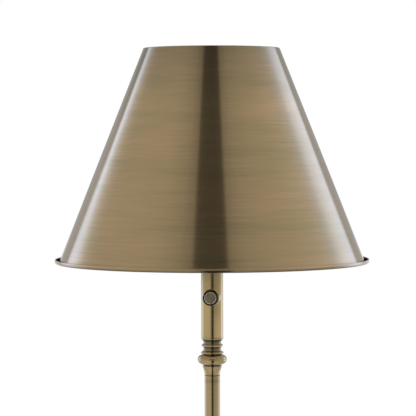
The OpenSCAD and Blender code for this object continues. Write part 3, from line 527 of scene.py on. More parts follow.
def brass_finish(name, light, dark, rough, spread, coat, girth, smear, line, bump, top_dark=0.0, axis="Z"):
    material, tree = new_material(name)
    place = add(tree, "ShaderNodeTexCoord").outputs["Object"]
    if axis == "Y":
        place = add(tree, "ShaderNodeVectorMath", {0: place, 1: (0, 0, -KNOB_Z * MM)}, operation="ADD")
        upright = {"Vector": place, "Angle": -pi / 2}
        place = add(tree, "ShaderNodeVectorRotate", upright, rotation_type="X_AXIS")
    flat = add(tree, "ShaderNodeVectorMath", {0: place, 1: (1, 1, 0)}, operation="MULTIPLY")
    around = add(tree, "ShaderNodeVectorMath", {0: flat}, operation="NORMALIZE")
    reach = add(tree, "ShaderNodeVectorMath", {0: flat}, operation="LENGTH").outputs["Value"]
    height = add(tree, "ShaderNodeSeparateXYZ", {0: place}).outputs["Z"]
    across = add(tree, "ShaderNodeMath", {0: height, 1: reach}, operation="SUBTRACT")
    across = add(tree, "ShaderNodeCombineXYZ", {"Z": across})
    rubbed = add(tree, "ShaderNodeVectorMath", {0: around, 1: across}, operation="ADD")
    noises = []
    for length, width, detail in ((*smear[:2], 2.0), (*line[:2], 3.0)):
        scale = (girth / length, girth / length, 1 / (width * MM))
        spot = add(tree, "ShaderNodeVectorMath", {0: rubbed, 1: scale}, operation="MULTIPLY")
        noise = add(tree, "ShaderNodeTexNoise", {"Vector": spot, "Scale": 1.0, "Detail": detail})
        noises.append(noise.outputs["Fac"])
    smears, lines = noises

    middle_half = {"From Min": 0.25, "From Max": 0.75}
    smear_range = {"To Min": 0.5 - smear[2], "To Max": 0.5 + smear[2]}
    line_range = {"To Min": 1 - line[2], "To Max": 1 + line[2]}
    tone = add(tree, "ShaderNodeMapRange", {"Value": smears, **middle_half, **smear_range})
    fine = add(tree, "ShaderNodeMapRange", {"Value": lines, **middle_half, **line_range})
    metal = add(tree, "ShaderNodeMix", {0: tone, 6: srgb(dark), 7: srgb(light)}, data_type="RGBA")
    metal = add(tree, "ShaderNodeVectorMath", {0: metal.outputs[2], "Scale": fine}, operation="SCALE")
    toward_top_range = {"From Min": (LAMP_TOP - TOP_DARK_ZONE) * MM, "From Max": LAMP_TOP * MM, "To Max": top_dark}
    toward_top = add(tree, "ShaderNodeMapRange", {"Value": height, **toward_top_range})
    metal = add(
        tree, "ShaderNodeMix", {0: toward_top, 6: metal, 7: TOP_DARK_TINT}, data_type="RGBA", blend_type="MULTIPLY"
    ).outputs[2]
    # The patina value mixes in the near-black: patina in hollows, and painted shade and painted reflection
    # at other marks.
    groove = add(tree, "ShaderNodeAttribute", attribute_name="patina").outputs["Fac"]
    groove = add(
        tree, "ShaderNodeMapRange", {"Value": groove, "From Max": 0.6}, interpolation_type="SMOOTHSTEP"
    )
    aged = add(tree, "ShaderNodeMix", {0: groove, 6: metal, 7: TARNISH_AND_SHADE}, data_type="RGBA").outputs[2]

    middle_part = {"From Min": 0.3, "From Max": 0.7}
    rough_range = {"To Min": rough * (1 - line[2]), "To Max": rough * (1 + line[2])}
    dull = add(tree, "ShaderNodeMapRange", {"Value": lines, **middle_part, **rough_range})
    ridges = add(tree, "ShaderNodeBump", {"Height": lines, "Strength": bump, "Distance": 0.1 * MM})
    tangent = add(tree, "ShaderNodeTangent", direction_type="RADIAL", axis=axis)
    surface = add(
        tree, "ShaderNodeBsdfPrincipled",
        {
            "Base Color": aged, "Metallic": 1.0, "Roughness": dull, "Anisotropic": spread,
            "Anisotropic Rotation": 0.25, "Tangent": tangent, "Normal": ridges,
            "Coat Weight": coat, "Coat Roughness": 0.1,
        },
    )
    add(tree, "ShaderNodeOutputMaterial", {"Surface": surface})
    return material


# Rubbed along the whole shade: a satin sheen with upright bands and faint level smears.
shade_brass = brass_finish(
    "brushed_antique_brass", "#C4A57A", "#AD996D", rough=0.18, spread=1.0, coat=0.7, girth=140,
    smear=(150, 30, 0.4), line=(60, 1.4, 0.1), bump=0.08, top_dark=0.95,
)

# %% Other brass
# Polished on the lathe and lacquered: nearly smooth, with a yellower tone than the shade.
pole_brass = brass_finish(
    "satin_antique_brass", "#C1A975", "#BBA26E", rough=0.18, spread=0.4, coat=0.7, girth=12,
    smear=(40, 24, 0.4), line=(14, 2.0, 0.02), bump=0.0,
)
# The same for the neck and the tubes, which were rubbed back less, so they stay browner.
tube_brass = brass_finish(
    "satin_brown_brass", "#B49E6E", "#AF976A", rough=0.18, spread=0.4, coat=0.7, girth=12,
    smear=(40, 24, 0.4), line=(14, 2.0, 0.02), bump=0.0,
)
# Spun like the shade, but rubbed finer: it shows rings of light round the pole.
base_brass = brass_finish(
    "spun_antique_brass", "#C2A873", "#B09866", rough=0.24, spread=0.8, coat=0.7, girth=90,
    smear=(150, 20, 0.3), line=(60, 1.4, 0.06), bump=0.06,
)
# Bare brass that was only rolled or drawn: brighter, with no patina.
bright_brass = brass_finish(
    "bright_drawn_brass", "#D9BC7C", "#C6A767", rough=0.28, spread=0.3, coat=0.0, girth=5,
    smear=(10, 8, 0.4), line=(6, 0.5, 0.08), bump=0.05,
)
# The knob's face is spun about the knob's own axis and left darker, and its edge is cut bright; the edge's
# lighter tone is also partly a painted highlight of its bevel.
edge_brass_and_highlight = brass_finish(
    "cut_bright_brass_and_highlight", "#B1A58F", "#A69A82", rough=0.24, spread=0.3, coat=0.5, girth=6,
    smear=(8, 2, 0.4), line=(10, 0.5, 0.04), bump=0.0, axis="Y",
)
knob_brass = brass_finish(
    "turned_dark_brass", "#A3957B", "#8A7C63", rough=0.24, spread=0.3, coat=0.5, girth=6,
    smear=(8, 2, 0.4), line=(10, 0.5, 0.08), bump=0.05, axis="Y",
)

# %% [markdown]
# ## Shade
# The shade is a cone of thin sheet. Its lower edge is bent outwards and turned up to a lip, which makes
# it stiff and leaves a narrow gutter round the cone. The lip's edge is folded over, so no sharp edge
# shows. The top edge is rolled inwards. The whole section, both skins, the gutter and the roll, is one
# closed outline, so the lathe makes the wall with its real thickness. The inside is not seen in the
# photograph. The neck's ball mirrors something pale above it, so the inside is given white enamel, as
# such shades often have, because it throws the light down. No pad reaches into the gutter, so it keeps
# the dark skin of the acid.
# The gutter's near-black is also painted shade of the deep channel.

# %% Enamel, and dark skin that is also painted shade
# Stoved enamel: warm white, sprayed on, with a low gloss and a faint orange-peel skin of about 3 mm.
enamel = mottled_finish(
    "white_stoved_enamel", "#F1EEE6", "#F7F5EF", size=3.0, detail=2.0, look={"Roughness": 0.4},
    bump=0.15, depth=0.2,
)
# Brass that no rubbing pad reached: a dull brown-black skin with cloudy patches of about 4 mm. Its
# near-black is also painted shade in the deep gutter.
patina = mottled_finish(
    "dark_gutter_skin_and_shade", "#130F09", "#221A11", size=4.0, detail=2.0,
    look={"Roughness": 0.75, "Specular IOR Level": 0.2},
)

# %% Lines of the shade
SHEET = 0.8
TOP_R = 87.0
TOP_ROLL = 1.5
ROLL_TURN = 297.8
LIP_T = 1.6
LIP_H = 5.5
LIP_BEND = 2.6
LIP_TUCK = 0.15
GUTTER_R = RIM_R - LIP_T
GUTTER_W = 4.6
GUTTER_BEND = 1.4
GUTTER_Z = RIM_LOW + 2.2
LEAN = (GUTTER_R - GUTTER_W - TOP_R) / (LAMP_TOP - RIM_LOW - LIP_H / 2)
SLANT = sqrt(1 + LEAN * LEAN)
SKIN = SHEET * SLANT


def cone_r(z):
    return TOP_R + (LAMP_TOP - z) * LEAN


lean_angle = atan2(LEAN, 1.0)
roll_mid = (cone_r(LAMP_TOP - TOP_ROLL) - TOP_ROLL * SLANT, LAMP_TOP - TOP_ROLL)
touch = (roll_mid[0] + TOP_ROLL * cos(lean_angle), roll_mid[1] + TOP_ROLL * sin(lean_angle))
print(f"the cone leans {degrees(lean_angle):.1f} degrees and its skin is {SKIN:.2f} mm wide")

# %% Shade
f = RIM_LOW
LIP_MID = f + LIP_H - LIP_T / 2
bm = turned_mesh(
    (cone_r(f + SHEET), f + SHEET),
    [
        ("to", *touch, 0),
        ("arc", *roll_mid, ROLL_TURN),
        ("to", cone_r(f) - SKIN, f, 0.9),
        ("to", RIM_R - LIP_BEND, f, 0),
        ("arc", RIM_R - LIP_BEND, f + LIP_BEND, 90),
        ("to", RIM_R - 2 * LIP_TUCK, LIP_MID, 0),
        ("arc", RIM_R - LIP_TUCK - LIP_T / 2, LIP_MID, 180),
        ("to", GUTTER_R, GUTTER_Z, 0),
        ("arc", GUTTER_R - GUTTER_BEND, GUTTER_Z, -90),
    ],
    steps=288,
    # Marks: the gutter's dark is its acid skin and also painted shade; the dark on the cone's foot beside
    # the lip is a painted shadow of the lip; the dark on the rim's lower bend is painted shade.
    grooves=[(RIM_R - 4, GUTTER_Z, 3.6, 1), (RIM_R - 10, f - 3, 10.5, 1), (RIM_R - 1, f - 0.6, 5.0, 0.62)],
)
shade = finish_object("shade_cone", bm, [shade_brass, enamel, patina], smooth_angle=50)
# The faces of the inner skin get the enamel and those of the gutter the dark skin, which is also painted
# shade.
for face in shade.data.polygons:
    middle = face.center / MM
    middle_r = hypot(middle.x, middle.y)
    if f + 1 < middle.z < LAMP_TOP - 3 and middle_r < cone_r(middle.z) - 0.6:
        face.material_index = 1
    if f + 0.7 < middle.z < f + LIP_H - 1 and cone_r(f) - 2 < middle_r < GUTTER_R + 0.2:
        face.material_index = 2
settle(shade, "shade", "shade")

# %% [markdown]
# ## Sleeve, neck and pole
# Below the shade the pole thickens to a sleeve that holds the dimmer. Under it the neck is one turned
# piece: a chamfer, a cove, a bead, a cove, a flare, a ball, a fillet and a trumpet that runs out to
# the tube. Each is a line or an arc of the outline. The dark lines in the photograph are the grooves
# between them, so these get patina and painted shade. The seam between sleeve and neck hardly shows,
# so it gets none. The sleeve's top is darkened as painted shade of the shade above it.

# %% Sleeve and its cap
# A wide, soft dark on the sleeve towards its top is painted shade of the shade above it.
bm = turned_mesh(
    (SLEEVE_R - TUBE_WALL, SLEEVE_LOW),
    [
        ("to", SLEEVE_R, SLEEVE_LOW, 0.05),
        ("to", SLEEVE_R, SLEEVE_HIGH, 0.2),
        ("to", SLEEVE_R - TUBE_WALL, SLEEVE_HIGH, 0),
    ],
    grooves=[(SLEEVE_R - 40, SLEEVE_HIGH, 60, 1)],
)
settle(finish_object("switch_sleeve_tube", bm, [pole_brass]), "column", "switch_sleeve")

CAP_H = high("sleeve_cap") - SLEEVE_HIGH
CAP_EDGE = 1.6
bm = turned_mesh(
    (ROD_HOLE, SLEEVE_HIGH),
    [
        ("to", SLEEVE_R, SLEEVE_HIGH, 0.2),
        ("to", SLEEVE_R, SLEEVE_HIGH + CAP_EDGE, 0),
        ("arc", SLEEVE_R - CAP_H + CAP_EDGE, SLEEVE_HIGH + CAP_EDGE, 90),
        ("to", ROD_HOLE, SLEEVE_HIGH + CAP_H, 0),
    ],
    grooves=[(SLEEVE_R, SLEEVE_HIGH, 0.7, 1)],
)
settle(finish_object("domed_sleeve_cap", bm, [pole_brass]), "column", "sleeve_cap")

# %% Neck
n = NECK_LOW
# The trumpet is the arc that widens by 3 mm in 12.6 mm of height, cut off 11.8 mm up.
TRUMPET_H = 12.6
TRUMPET_W = 3.0
TRUMPET_CUT = 11.8
TRUMPET_R = (TRUMPET_H**2 + TRUMPET_W**2) / (2 * TRUMPET_W)
TRUMPET_TURN = degrees(asin(TRUMPET_CUT / TRUMPET_R))
BALL_ARC = 5.8
BALL_AT = 13.1
BALL_MID = n + 20.5
BALL_CUT = n + 15.6
FILLET_R = 14.2
FLARE_R = 14.5
COVE_R = 11.4
BEAD_AT = 11.8
below_mid = BALL_MID - BALL_CUT
bm = turned_mesh(
    (ROD_HOLE, n),
    [
        ("to", TUBE_R, n, 0),
        ("arc", TUBE_R + TRUMPET_R, n, -TRUMPET_TURN),
        ("to", 11.9, n + 12.0, 0),
        ("to", 11.9, n + 14.2, 0),
        ("to", FILLET_R, n + 14.2, 0.25),
        ("to", FILLET_R, BALL_CUT, 0),
        ("to", BALL_AT + sqrt(BALL_ARC**2 - below_mid**2), BALL_CUT, 0),
        ("arc", BALL_AT, BALL_MID, 85 + degrees(asin(below_mid / BALL_ARC))),
        ("to", 13.6, n + 28.3, 0),
        ("to", FLARE_R, n + 28.3, 0.1),
        ("to", FLARE_R, n + 29.5, 0.3),
        ("to", 13.2, n + 30.8, 0.8),
        ("to", COVE_R, n + 31.8, 0.4),
        ("to", COVE_R, n + 36.6, 0),
        ("to", BEAD_AT, n + 36.6, 0),
        ("arc", BEAD_AT, n + 38.5, 180),
        ("to", COVE_R, n + 40.4, 0),
        ("to", COVE_R, n + 44.2, 0),
        ("to", 12.0, n + 44.2, 0.2),
        ("to", SLEEVE_R, n + 47.4, 0.3),
        ("to", SLEEVE_R, n + 49.5, 0.05),
        ("to", ROD_HOLE, n + 49.5, 0),
    ],
    # Patina and painted shade: the joint and the coves keep patina; the dark creases below the fillet,
    # above the ball, below the bead and at the foot of the chamfer are also painted shade, and the darker
    # tops of the bead and the flare are painted reflection.
    grooves=[
        (TUBE_R, n, 0.8, 1), (11.9, n + 13.4, 1.5, 1), (13.6, n + 27.3, 1.5, 1),
        (11.5, n + 31.4, 1.3, 0.55), (COVE_R, n + 33.6, 5.0, 0.35), (COVE_R, n + 36.4, 1.5, 1),
        (12.4, n + 40.5, 1.4, 0.8), (COVE_R, n + 42.3, 4.0, 0.38), (12.6, n + 45.2, 2.5, 1),
    ],
)
settle(finish_object("turned_neck", bm, [tube_brass]), "column", "neck_turning")

# %% Pole
# A tube is darkest at its ends, and a little darker just below its upper joint: painted shade, as under
# the neck.
for name, node, low_z, high_z in (
    ("upper_pole_tube", "upper_tube", SEAM, NECK_LOW),
    ("lower_pole_tube", "lower_tube", POLE_LOW, SEAM),
):
    bm = turned_mesh(
        (TUBE_R - TUBE_WALL, low_z),
        [
            ("to", TUBE_R, low_z, 0.15),
            ("to", TUBE_R, high_z, 0.15),
            ("to", TUBE_R - TUBE_WALL, high_z, 0),
        ],
        steps=96,
        grooves=[(TUBE_R, low_z, 0.6, 1), (TUBE_R, high_z, 0.6, 1), (TUBE_R, high_z - 7.0, 6.0, 0.2)],
    )
    settle(finish_object(name, bm, [tube_brass]), "column", node)

# %% [markdown]
# ## Dimmer
# The knob is a black moulding with fine grip flutes and a brass disc let into its face. It stands in
# front of a brass ring that hides the hole in the sleeve. All three are turned about the knob's axis,
# which points at the viewer, so they are made upright like the rest and then laid along that axis. The
# flutes are cut by drawing in the knob's rim along a wave, with eight rows of vertices to a flute. The
# disc has a bright bevelled edge. The ring's front is bevelled, and its back is pushed on to the round
# sleeve.
# The disc's bright edge is partly a painted highlight of its bevel.

# %% Knob
KNOB_R = 9.75
KNOB_BACK = 16.4
KNOB_FRONT = 25.0
RECESS = KNOB_FRONT - 1.2
RECESS_R = 7.95
KNOB_BORE = 7.7
FLUTES = 36
FLUTE_DEPTH = 0.12
# Moulded phenolic: almost black, with the soft shine of a moulded skin and a fine grain.
black_moulding = mottled_finish(
    "black_moulded_phenolic", "#060505", "#100E0D", size=0.6, detail=2.0,
    look={"Roughness": 0.46, "Specular IOR Level": 0.25}, bump=0.2, depth=0.05,
)


def lay_along_knob(bm):
    bmesh.ops.rotate(bm, verts=bm.verts, cent=(0, 0, 0), matrix=Matrix.Rotation(pi / 2, 3, "X"))
    bmesh.ops.translate(bm, verts=bm.verts, vec=(0, 0, KNOB_Z * MM))


bm = turned_mesh(
    (KNOB_BORE, RECESS),
    [
        ("to", RECESS_R, RECESS, 0),
        ("to", RECESS_R, KNOB_FRONT, 0.15),
        ("to", KNOB_R, KNOB_FRONT, 0.3),
        ("to", KNOB_R, KNOB_BACK, 0.2),
        ("to", KNOB_BORE, KNOB_BACK, 0),
    ],
    steps=FLUTES * 8,
)
for vert in bm.verts:
    if hypot(vert.co.x, vert.co.y) > 9.0 * MM:
        cut = FLUTE_DEPTH * max(0.0, cos(FLUTES * atan2(vert.co.y, vert.co.x)))
        vert.co.xy *= 1 - cut / KNOB_R
lay_along_knob(bm)
settle(finish_object("grip_knob", bm, [black_moulding], 30), "knob", "dimmer_knob")

# %% Brass face of the knob
FACE_R = 7.9
FACE_EDGE = 6.5
bm = turned_mesh(
    (0, RECESS),
    [
        ("to", FACE_R, RECESS, 0),
        ("to", FACE_R, KNOB_FRONT - 0.2, 0),
        ("to", FACE_EDGE, KNOB_FRONT + 0.6, 0.15),
        ("to", 6.3, KNOB_FRONT + 0.4, 0.1),
        ("to", 0, KNOB_FRONT + 0.5, 0),
    ],
    grooves=[(6.3, KNOB_FRONT + 0.4, 0.3, 0.5)],
    close=False,
)
for face in bm.faces:
    face.material_index = int(face.calc_center_median().xy.length > FACE_EDGE * MM)
lay_along_knob(bm)
face_disc = finish_object("knob_face", bm, [knob_brass, edge_brass_and_highlight], 25)
settle(face_disc, "knob", "knob_inlay")

# %% Ring behind the knob
RING_R = 11.75
RING_HOLE = 4.9
RING_BACK = 8.0
RING_FRONT = 16.0
bm = turned_mesh(
    (RING_HOLE, RING_BACK),
    [
        ("to", RING_R, RING_BACK, 0),
        ("to", RING_R, 12.8, 0.5),
        ("to", 9.9, RING_FRONT, 0.2),
        ("to", RING_HOLE, RING_FRONT, 0),
    ],
    # The dark next to the knob is painted shade of the knob on the ring.
    grooves=[(9.7, RING_FRONT, 0.9, 1)],
)
lay_along_knob(bm)
for vert in bm.verts:
    if vert.co.y > -(RING_BACK + 1) * MM:
        vert.co.y = -sqrt((SLEEVE_R + 0.05) ** 2 - (vert.co.x / MM) ** 2) * MM
settle(finish_object("knob_ring", bm, [pole_brass]), "column", "dimmer_bezel")

# %% [markdown]
# ## Harp and shade spider
# The shade hangs on a harp: a wire loop whose legs stand in two small sleeves on a saddle under the
# socket, with a screw stud on its top. The shade's spider is a ring of wire inside the top edge, three
# cranked arms and a washer that drops over the stud. All of these are round wire, bent cold on a jig.
# The helper bends the same way: a ring of vertices is extruded along each straight run and spun round
# each bend, and the ends are closed. A step is the length of a run, the radius of the bend after it
# and the turn of that bend in degrees.


# %% Wire bending
def edges_between(bm, verts):
    return [edge for edge in bm.edges if all(vert in verts for vert in edge.verts)]


def bent_wire(diameter, steps, sides=16):
    bm = bmesh.new()
    verts = bmesh.ops.create_circle(bm, cap_ends=True, segments=sides, radius=diameter / 2 * MM)["verts"]
    heading = 0.0
    tip = Vector((0, 0, 0))
    for run, bend_r, turn in steps:
        grown = bmesh.ops.extrude_edge_only(bm, edges=edges_between(bm, verts))["geom"]
        verts = [g for g in grown if isinstance(g, bmesh.types.BMVert)]
        ahead = Vector((sin(heading), 0, cos(heading)))
        bmesh.ops.translate(bm, verts=verts, vec=ahead * run * MM)
        tip += ahead * run
        if turn:
            side = bend_r if turn > 0 else -bend_r
            centre = tip + Vector((cos(heading), 0, -sin(heading))) * side
            spun = bmesh.ops.spin(
                bm, geom=verts + edges_between(bm, verts), cent=centre * MM, axis=(0, 1, 0),
                angle=radians(turn), steps=max(3, round(abs(turn) / 6)),
            )
            verts = [g for g in spun["geom_last"] if isinstance(g, bmesh.types.BMVert)]
            heading += radians(turn)
            tip = centre - Vector((cos(heading), 0, -sin(heading))) * side
    bmesh.ops.contextual_create(bm, geom=edges_between(bm, verts))
    bmesh.ops.recalc_face_normals(bm, faces=bm.faces)
    return bm


def joined(*pieces):
    whole = bmesh.new()
    for bm in pieces:
        spare = bpy.data.meshes.new("spare")
        bm.to_mesh(spare)
        bm.free()
        whole.from_mesh(spare)
        bpy.data.meshes.remove(spare)
    return whole


trial = bent_wire(4.0, [(20, 10, 90), (20, 0, 0)])
print("a hook with one bend has", len(trial.faces), "faces")
trial.free()

# %% Harp
# The harp is of dull brass-plated wire: darker and rougher than the lacquered pieces.
dull_brass = brass_finish(
    "dull_plated_brass", "#B39B6E", "#94805A", rough=0.36, spread=0.2, coat=0.0, girth=6,
    smear=(20, 10, 0.4), line=(8, 1.0, 0.08), bump=0.05,
)
HARP_WIRE = 4.0
LEG_X = 27.0
LEG_Z = (low("harp_sleeves") + high("harp_sleeves")) / 2
LEG_RUN = (high("harp_sleeves") - low("harp_sleeves")) / 2 + 10
HARP_HALF = 56.0
HARP_TOP = high("harp_wire") - HARP_WIRE / 2
OUT_TURN = 25
IN_TURN = 14
FOOT_BEND = 25
SIDE_BEND = 120
TOP_BEND = 26
sin_out = sin(radians(OUT_TURN))
cos_out = cos(radians(OUT_TURN))
sin_in = sin(radians(IN_TURN))
cos_in = cos(radians(IN_TURN))
out_run = (HARP_HALF - LEG_X - (FOOT_BEND + SIDE_BEND) * (1 - cos_out)) / sin_out
rise = HARP_TOP - LEG_Z - LEG_RUN - FOOT_BEND * sin_out - out_run * cos_out
in_run = (rise - SIDE_BEND * (sin_out + sin_in) - TOP_BEND * (1 - sin_in)) / cos_in
top_run = HARP_HALF - SIDE_BEND * (1 - cos_in) - in_run * sin_in - TOP_BEND * cos_in
bm = bent_wire(
    HARP_WIRE,
    [
        (LEG_RUN, FOOT_BEND, -OUT_TURN),
        (out_run, SIDE_BEND, OUT_TURN + IN_TURN),
        (in_run, TOP_BEND, 90 - IN_TURN),
        (2 * top_run, TOP_BEND, 90 - IN_TURN),
        (in_run, SIDE_BEND, OUT_TURN + IN_TURN),
        (out_run, FOOT_BEND, -OUT_TURN),
        (LEG_RUN, 0, 0),
    ],
)
bmesh.ops.translate(bm, verts=bm.verts, vec=Vector((-LEG_X, 0, LEG_Z)) * MM)
settle(finish_object("bent_harp", bm, [dull_brass]), "column", "harp_wire")

# %% Harp sleeves and stud
sleeves = []
for side in (-1, 1):
    bm = turned_mesh(
        (2.2, low("harp_sleeves")),
        [
            ("to", 3.2, low("harp_sleeves"), 0.3),
            ("to", 3.2, high("harp_sleeves"), 0.3),
            ("to", 2.2, high("harp_sleeves"), 0.2),
        ],
        steps=32,
    )
    bmesh.ops.translate(bm, verts=bm.verts, vec=(side * LEG_X * MM, 0, 0))
    sleeves.append(bm)
harp_tubes = finish_object("harp_leg_sleeves", joined(*sleeves), [bright_brass])
settle(harp_tubes, "column", "harp_sleeves")

WASHER_T = 2.4
WASHER_Z = low("finial") - WASHER_T
STUD_R = 3.1
STUD_FOOT = 6.5
bm = turned_mesh(
    (0, low("harp_stud")),
    [
        ("to", STUD_FOOT, low("harp_stud"), 0.5),
        ("to", STUD_FOOT, WASHER_Z, 0.4),
        ("to", STUD_R, WASHER_Z, 0),
        ("to", STUD_R, high("harp_stud"), 0.5),
        ("to", 0, high("harp_stud"), 0),
    ],
    steps=48,
    close=False,
)
settle(finish_object("harp_screw_stud", bm, [bright_brass]), "column", "harp_stud")

# %% Spider
HOOP_WIRE = 3.4
ARM_WIRE = 2.8
ARM_START = 8.5
ARM_FLAT = 8.0
ARM_BEND = 8.0
ARM_TURN = 30
WASHER_R = 11.5
slope = radians(ARM_TURN)
hoop_z = high("shade_spider") - HOOP_WIRE / 2
hoop_r = cone_r(hoop_z) - SKIN - HOOP_WIRE / 2 * SLANT - 0.1
arm_z = WASHER_Z + WASHER_T / 2
slope_run = (hoop_z - arm_z - 2 * ARM_BEND * (1 - cos(slope))) / sin(slope)
end_run = hoop_r - ARM_START - ARM_FLAT - 2 * ARM_BEND * sin(slope) - slope_run * cos(slope)
parts = [
    turned_mesh((hoop_r + HOOP_WIRE / 2, hoop_z), [("arc", hoop_r, hoop_z, 360)]),
    turned_mesh(
        (STUD_R + 0.1, WASHER_Z),
        [
            ("to", WASHER_R, WASHER_Z, 0.3),
            ("to", WASHER_R, WASHER_Z + WASHER_T, 0.4),
            ("to", STUD_R + 0.1, WASHER_Z + WASHER_T, 0),
        ],
        steps=64,
    ),
]
for arm in range(3):
    bm = bent_wire(
        ARM_WIRE,
        [(ARM_FLAT, ARM_BEND, -ARM_TURN), (slope_run, ARM_BEND, ARM_TURN), (end_run, 0, 0)],
    )
    bmesh.ops.rotate(bm, verts=bm.verts, cent=(0, 0, 0), matrix=Matrix.Rotation(pi / 2, 3, "Y"))
    bmesh.ops.translate(bm, verts=bm.verts, vec=Vector((ARM_START, 0, arm_z)) * MM)
    turned = Matrix.Rotation(radians(90 + 120 * arm), 3, "Z")
    bmesh.ops.rotate(bm, verts=bm.verts, cent=(0, 0, 0), matrix=turned)
    parts.append(bm)
settle(finish_object("wire_spider", joined(*parts), [dull_brass]), "shade", "shade_spider")

# %% [markdown]
# ## Finial
# The finial is a turned nut that holds the shade down: a foot, a short neck and a ball. It sits inside
# the shade's top, below its edge, so it shows only from above.

# %% Finial
z = low("finial")
FINIAL_BALL = 7.0
FINIAL_NECK = 5.1
FINIAL_FOOT = 6.5
ball_z = high("finial") - FINIAL_BALL
neck_turn = degrees(acos(FINIAL_NECK / FINIAL_BALL))
bm = turned_mesh(
    (0, z),
    [
        ("to", FINIAL_FOOT, z, 0),
        ("arc", FINIAL_FOOT, z + 1.5, 180),
        ("to", FINIAL_NECK, z + 3.0, 0),
        ("to", FINIAL_NECK, ball_z - FINIAL_BALL * sin(radians(neck_turn)), 0),
        ("arc", 0, ball_z, 90 + neck_turn),
    ],
    steps=64,
    grooves=[(FINIAL_NECK, z + 3.0, 0.6, 1), (FINIAL_NECK, ball_z - 4.8, 0.6, 1)],
    close=False,
)
settle(finish_object("turned_finial", bm, [pole_brass]), "finial", "finial")

# %% [markdown]
# ## Socket and bulb
# Inside the shade a brass lampholder stands on the pole's end: a cup-shaped cap below, and a thin shell
# with a pressed bead that snaps into it. The bulb is an opal globe on a threaded cap. None of it shows
# in the photograph, but it is seen from below, so it is turned like the rest. The bulb's neck runs into
# the globe with a hollow curve that touches both, worked out from the two radii.

# %% Socket
z = low("socket_cap")
CUP_FOOT = 8.5
CUP_BEND = 12
CUP_BEND_AT = 5.5
CUP_TURN = 75.5
bm = turned_mesh(
    (ROD_HOLE, z),
    [
        ("to", CUP_FOOT, z, 0.5),
        ("to", CUP_FOOT, z + 14 - CUP_BEND * sin(radians(CUP_TURN)), 0),
        ("arc", CUP_BEND_AT, z + 14, CUP_TURN),
        ("to", 17.5, z + 22, 0.3),
        ("to", 16.8, z + 22, 0.2),
        ("to", 16.8, z + 14, 0),
        ("arc", CUP_BEND_AT, z + 14, -78),
        ("to", ROD_HOLE, z + 2.95, 0),
    ],
    grooves=[(CUP_FOOT, z + 2.4, 0.8, 1)],
)
settle(finish_object("socket_cup", bm, [dull_brass]), "column", "socket_cap")

SHELL_R = 16.7
bead_turn = degrees(acos(0.35))
bead_half = sin(radians(bead_turn))
bm = turned_mesh(
    (16.0, z + 17),
    [
        ("to", SHELL_R, z + 17, 0),
        ("to", SHELL_R, z + 25 - bead_half, 0),
        ("arc", 16.35, z + 25, 2 * bead_turn),
        ("to", SHELL_R, z + 57.2, 0),
        ("arc", 15.9, z + 57.2, 180),
        ("to", 16.0, z + 56.4, 0),
    ],
    grooves=[(SHELL_R, z + 24, 0.6, 1), (SHELL_R, z + 26, 0.6, 1)],
)
settle(finish_object("socket_sleeve", bm, [dull_brass]), "column", "socket_shell")

# %% Bulb cap
# Rolled aluminium: pale grey, with soft lines 1.2 mm apart from the rolling.
bulb_alloy, tree = new_material("rolled_aluminium")
place = add(tree, "ShaderNodeTexCoord").outputs["Object"]
spot = add(tree, "ShaderNodeVectorMath", {0: place, 1: (60, 60, 1 / (1.2 * MM))}, operation="MULTIPLY")
rolled = add(tree, "ShaderNodeTexNoise", {"Vector": spot, "Scale": 1.0, "Detail": 3.0}).outputs["Fac"]
tint = add(tree, "ShaderNodeMix", {0: rolled, 6: srgb("#B4B5B7"), 7: srgb("#CDCECF")}, data_type="RGBA")
alloy = {"Base Color": tint.outputs[2], "Metallic": 1.0, "Roughness": 0.34}
metal = add(tree, "ShaderNodeBsdfPrincipled", alloy)
add(tree, "ShaderNodeOutputMaterial", {"Surface": metal})

z = low("bulb_cap")
THREADS = 5
PITCH = 3.6
CAP_R = 12.6
thread_turn = degrees(acos(0.4))
thread_half = sin(radians(thread_turn))
moves = [("to", 9.6, z, 0.4), ("to", CAP_R, z + 4, 0.3)]
for ridge in range(THREADS):
    ridge_z = z + 5.4 + PITCH * ridge
    moves += [("to", CAP_R, ridge_z - thread_half, 0), ("arc", 12.2, ridge_z, 2 * thread_turn)]
moves += [("to", CAP_R, z + 24, 0.3), ("to", 0, z + 24, 0)]
bm = turned_mesh((0, z), moves, steps=64, close=False)
settle(finish_object("bulb_screw_cap", bm, [bulb_alloy]), "column", "bulb_cap")

# %% Bulb
# Opal glass: milky white that lets light in a little way, with a hard gloss on top.
opal = mottled_finish(
    "opal_glass", "#EDEBE5", "#F4F3EF", size=20.0, detail=1.0,
    look={
        "Roughness": 0.15, "IOR": 1.5,
        "Subsurface Weight": 0.3, "Subsurface Radius": (0.003, 0.003, 0.003),
    },
)
GLOBE_R = 30.0
GLASS_NECK_R = 11.9
HOLLOW_DROP = 52
globe_z = high("bulb_glass") - GLOBE_R
hollow_z = globe_z - HOLLOW_DROP
hollow_r = (GLASS_NECK_R**2 + HOLLOW_DROP**2 - GLOBE_R**2) / (2 * (GLOBE_R - GLASS_NECK_R))
hollow_x = GLASS_NECK_R + hollow_r
touch_angle = degrees(atan2(HOLLOW_DROP, hollow_x))
bm = turned_mesh(
    (0, hollow_z - 6),
    [
        ("to", GLASS_NECK_R, hollow_z - 6, 0),
        ("to", GLASS_NECK_R, hollow_z, 0),
        ("arc", hollow_x, hollow_z, -touch_angle),
        ("arc", 0, globe_z, 90 + touch_angle),
    ],
    close=False,
)
settle(finish_object("opal_globe", bm, [opal]), "column", "bulb_glass")

# %% [markdown]
# ## Base
# The base lies outside the photograph. It follows what such lamps have: a heavy casting under a spun
# brass cover with a rolled edge, a step, a low dome, a bead and a hollow that sweeps up to the pole,
# then a turned collar that repeats the neck's ball. Felt under it spares the floor. The lead leaves at
# the back through a black bushing, so the cover has a hole there, cut with a cylinder. No lead is shown
# in the photograph, and none is made outside the base.

